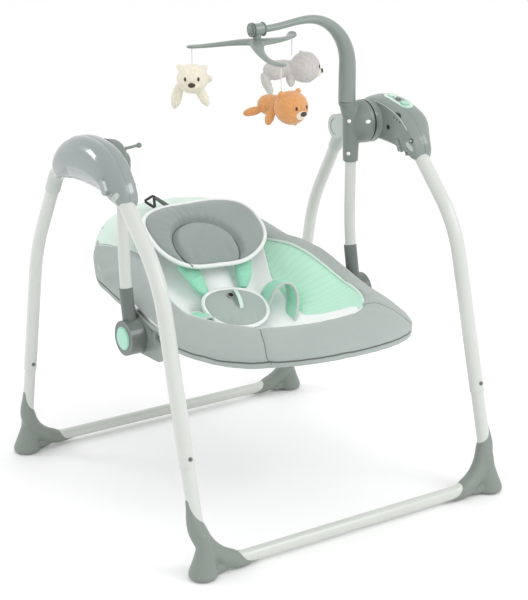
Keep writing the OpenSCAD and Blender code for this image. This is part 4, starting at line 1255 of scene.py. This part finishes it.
# hanger hubs: round disc and socket of the hanger tube, with the foot of the toy post on the right
# and a short peg on the left
lower = [rod((258, 32, 588), (258, 32, 650), 15.2, 16.8), rod((258, 32, 650), (258, 32, 680), 16.8)]
hubs = {
    "right": lower + [
        lathe_x([(252, 15), (254, 23), (258, 30), (264, 36), (271, 40), (279, 42.4), (287, 43)]),
        ellipsoid((258, 32, 684), (17, 17, 17)), rod((258, 32, 676), (251, 36, 707), 17, 16.8),
        rod((250, 36, 700), (250, 36, 708), 16.8)],
    "left": lower[:1] + [
        lathe_x([(256, 15), (258, 22), (262, 28), (268, 32), (276, 34), (287, 35)]),
        ellipsoid((258, 32, 656), (16.8, 16.8, 20)), rod((258, 30, 678), (224, 30, 681), 3.2),
        ellipsoid((222, 30, 681), (5.5, 5.5, 5.5))],
}
for word, pieces in hubs.items():
    v, f = merged(pieces)
    hubs[word] = o = shown("%s_hub_shell" % word, v * np.array([1 if word == "right" else -1, 1, 1]), f, HUB)
    clean(o)
    remesh(o, 1.6, 10)
    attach(o, "swing_carriage")
    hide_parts("hanger_hub_" + word)

# socket of the left rear leg: an arm from the housing that bends down into a sleeve round the leg
leg = NODES["rear_leg_left"]
p = np.array([(leg.matrix_world @ v.co)[:] for v in leg.data.vertices]) / MM
top = p[p[:, 2] > p[:, 2].max() - 14].mean(0)
low = p[(p[:, 2] < top[2] - 90) & (p[:, 2] > top[2] - 170)].mean(0)
down = (low - top) / np.linalg.norm(low - top)
path = [top + down * 36, top + down * 20, top + down * 6, top + (0, -9, 6), top + (0, -26, 14),
        (-LEG_X, 104, 652), (-LEG_X, 84, 656)]
arm = tube("rear_socket_arm_left", curve(path, 60), 14.4, LIGHT, "rear_frame", 36)
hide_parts("rear_socket_left")

bpy.context.view_layer.update()
ahead, aside = (0.55, 0.83, -0.1), (0.9, 0.42, 0)
for k, (near, way) in enumerate((((246, 22, 671), ahead), ((272, -6, 672), aside), ((246, 23, 606), ahead))):
    start = Vector(near) - Vector(way) * 60
    o = stamp("hub_screw_cap_%d" % k, hubs["right"], start, way, oval(3.6, 3.6, 20), 1.0, WHITE,
              "swing_carriage")

# ---------------------------------------------------------------- mobile


def blade(rows, steps=48, k=24):
    """Closed arm of oval section that lies level. Rows: x, y, z, half width, half height."""
    q = curve(rows, steps)
    p, w, h = q[:, :3], q[:, 3], q[:, 4]
    t = np.gradient(p, axis=0)
    across = np.cross(t, (0, 0, 1.0))
    across /= np.linalg.norm(across, axis=1)[:, None]
    up = np.cross(across, t)
    up /= np.linalg.norm(up, axis=1)[:, None]
    ang = np.linspace(0, 2 * math.pi, k, endpoint=False)
    grid = p[:, None] + (w[:, None] * spow(np.cos(ang), 0.9))[..., None] * across[:, None] \
        + (h[:, None] * spow(np.sin(ang), 0.9))[..., None] * up[:, None]
    v, f, _ = sheet(grid, False, True, True)
    return v, f


# part of the reach, half width and half height
ARM_SHAPE = [(0.0, 12, 6), (0.1, 14, 6.5), (0.25, 12, 6), (0.45, 8.5, 5), (0.65, 6.5, 4.4), (0.8, 7.5, 4),
             (0.9, 10, 3.6), (0.98, 10.5, 3.4), (1.04, 8, 3), (1.075, 3.5, 2)]


def spider_arm(k):
    """Arm k of the mobile, which bends to one side and falls to its end."""
    turn = math.radians(ARM_TURN[k])
    rows = []
    for t, wide, high in ARM_SHAPE:
        along, aside = REACH * t, -34 * t * (1 - t) * 1.6
        tip = 5 * smooth(np.array((t - 0.95) / 0.12)) if k == 1 else 0
        rows.append((TIP[0] + along * math.cos(turn) - aside * math.sin(turn),
                     TIP[1] + along * math.sin(turn) + aside * math.cos(turn),
                     TIP[2] - ARM_DROP[k] * float(smooth(np.array(t * 1.1))) + float(tip), wide, high))
    return blade(rows)


v, f = merged([spider_arm(k) for k in range(3)] + [
    ellipsoid((TIP[0], TIP[1], 840), (19, 19, 6.6)),
    rod((TIP[0], TIP[1], 838), (TIP[0], TIP[1], 847.3), 12, 9)])
spider = shown("mobile_arms", v, f, GREY)
remesh(spider, 1.5, 5)
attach(spider, "mobile")
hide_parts("mobile_spider")
for k, (x, r) in enumerate(((25.5, 12.2), (29.5, 12.4), (52, 12.2))):
    ring = ring_x(x, r, (36, 866), 48)
    o = tube("barrel_ring_%d" % k, ring, 1.2, HUB, "swing_carriage", 10, True, up=(1, 0, 0))
v, f = ellipsoid((24.5, 36, 866), (4, 9.5, 9.5))
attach(shown("barrel_end_cap", v, f, HUB), "swing_carriage")

# ---------------------------------------------------------------- floor, light, camera

floor_mat = Nodes("studio_floor")
floor_mat.colour((254, 254, 254), 0.002, 1.0)
floor_mat.set(Roughness=0.6)
HALF_FLOOR = 9000
corners = [(x * HALF_FLOOR, y * HALF_FLOOR, 0) for x, y in ((-1, -1), (1, -1), (1, 1), (-1, 1))]
floor = shown("studio_floor", corners, [(0, 1, 2, 3)], floor_mat.mat)

world = bpy.data.worlds.new("studio")
bpy.context.scene.world = world
world.use_nodes = True
world.node_tree.nodes["Background"].inputs["Color"].default_value = (1, 1, 1, 1)
world.node_tree.nodes["Background"].inputs["Strength"].default_value = 1.0
bpy.context.scene.view_settings.view_transform = "Standard"


def area_light(name, place, target, size, power):
    lamp = bpy.data.lights.new(name, "AREA")
    lamp.energy, lamp.size = power, size
    lamp.shape = "SQUARE"
    o = bpy.data.objects.new(name, lamp)
    bpy.context.scene.collection.objects.link(o)
    o.location = place
    o.rotation_euler = (Vector(target) - Vector(place)).to_track_quat("-Z", "Y").to_euler()


area_light("key", (1.8, -2.6, 2.8), (0, 0, 0.4), 1.6, 34)
area_light("fill", (-2.0, 1.9, 1.75), (0, 0, 0.6), 0.7, 12)
area_light("front", (-1.0, -3.0, 2.6), (0, 0, 0.4), 2.0, 14)

camera = bpy.data.cameras.new("camera")
camera.lens = 102
camera.sensor_width = 36
eye = bpy.data.objects.new("camera", camera)
bpy.context.scene.collection.objects.link(eye)
eye.location = (-1.7232, -2.5849, 1.360)
eye.rotation_euler = (math.radians(90 - 17.93), 0, math.radians(-34.15))
bpy.context.scene.camera = eye
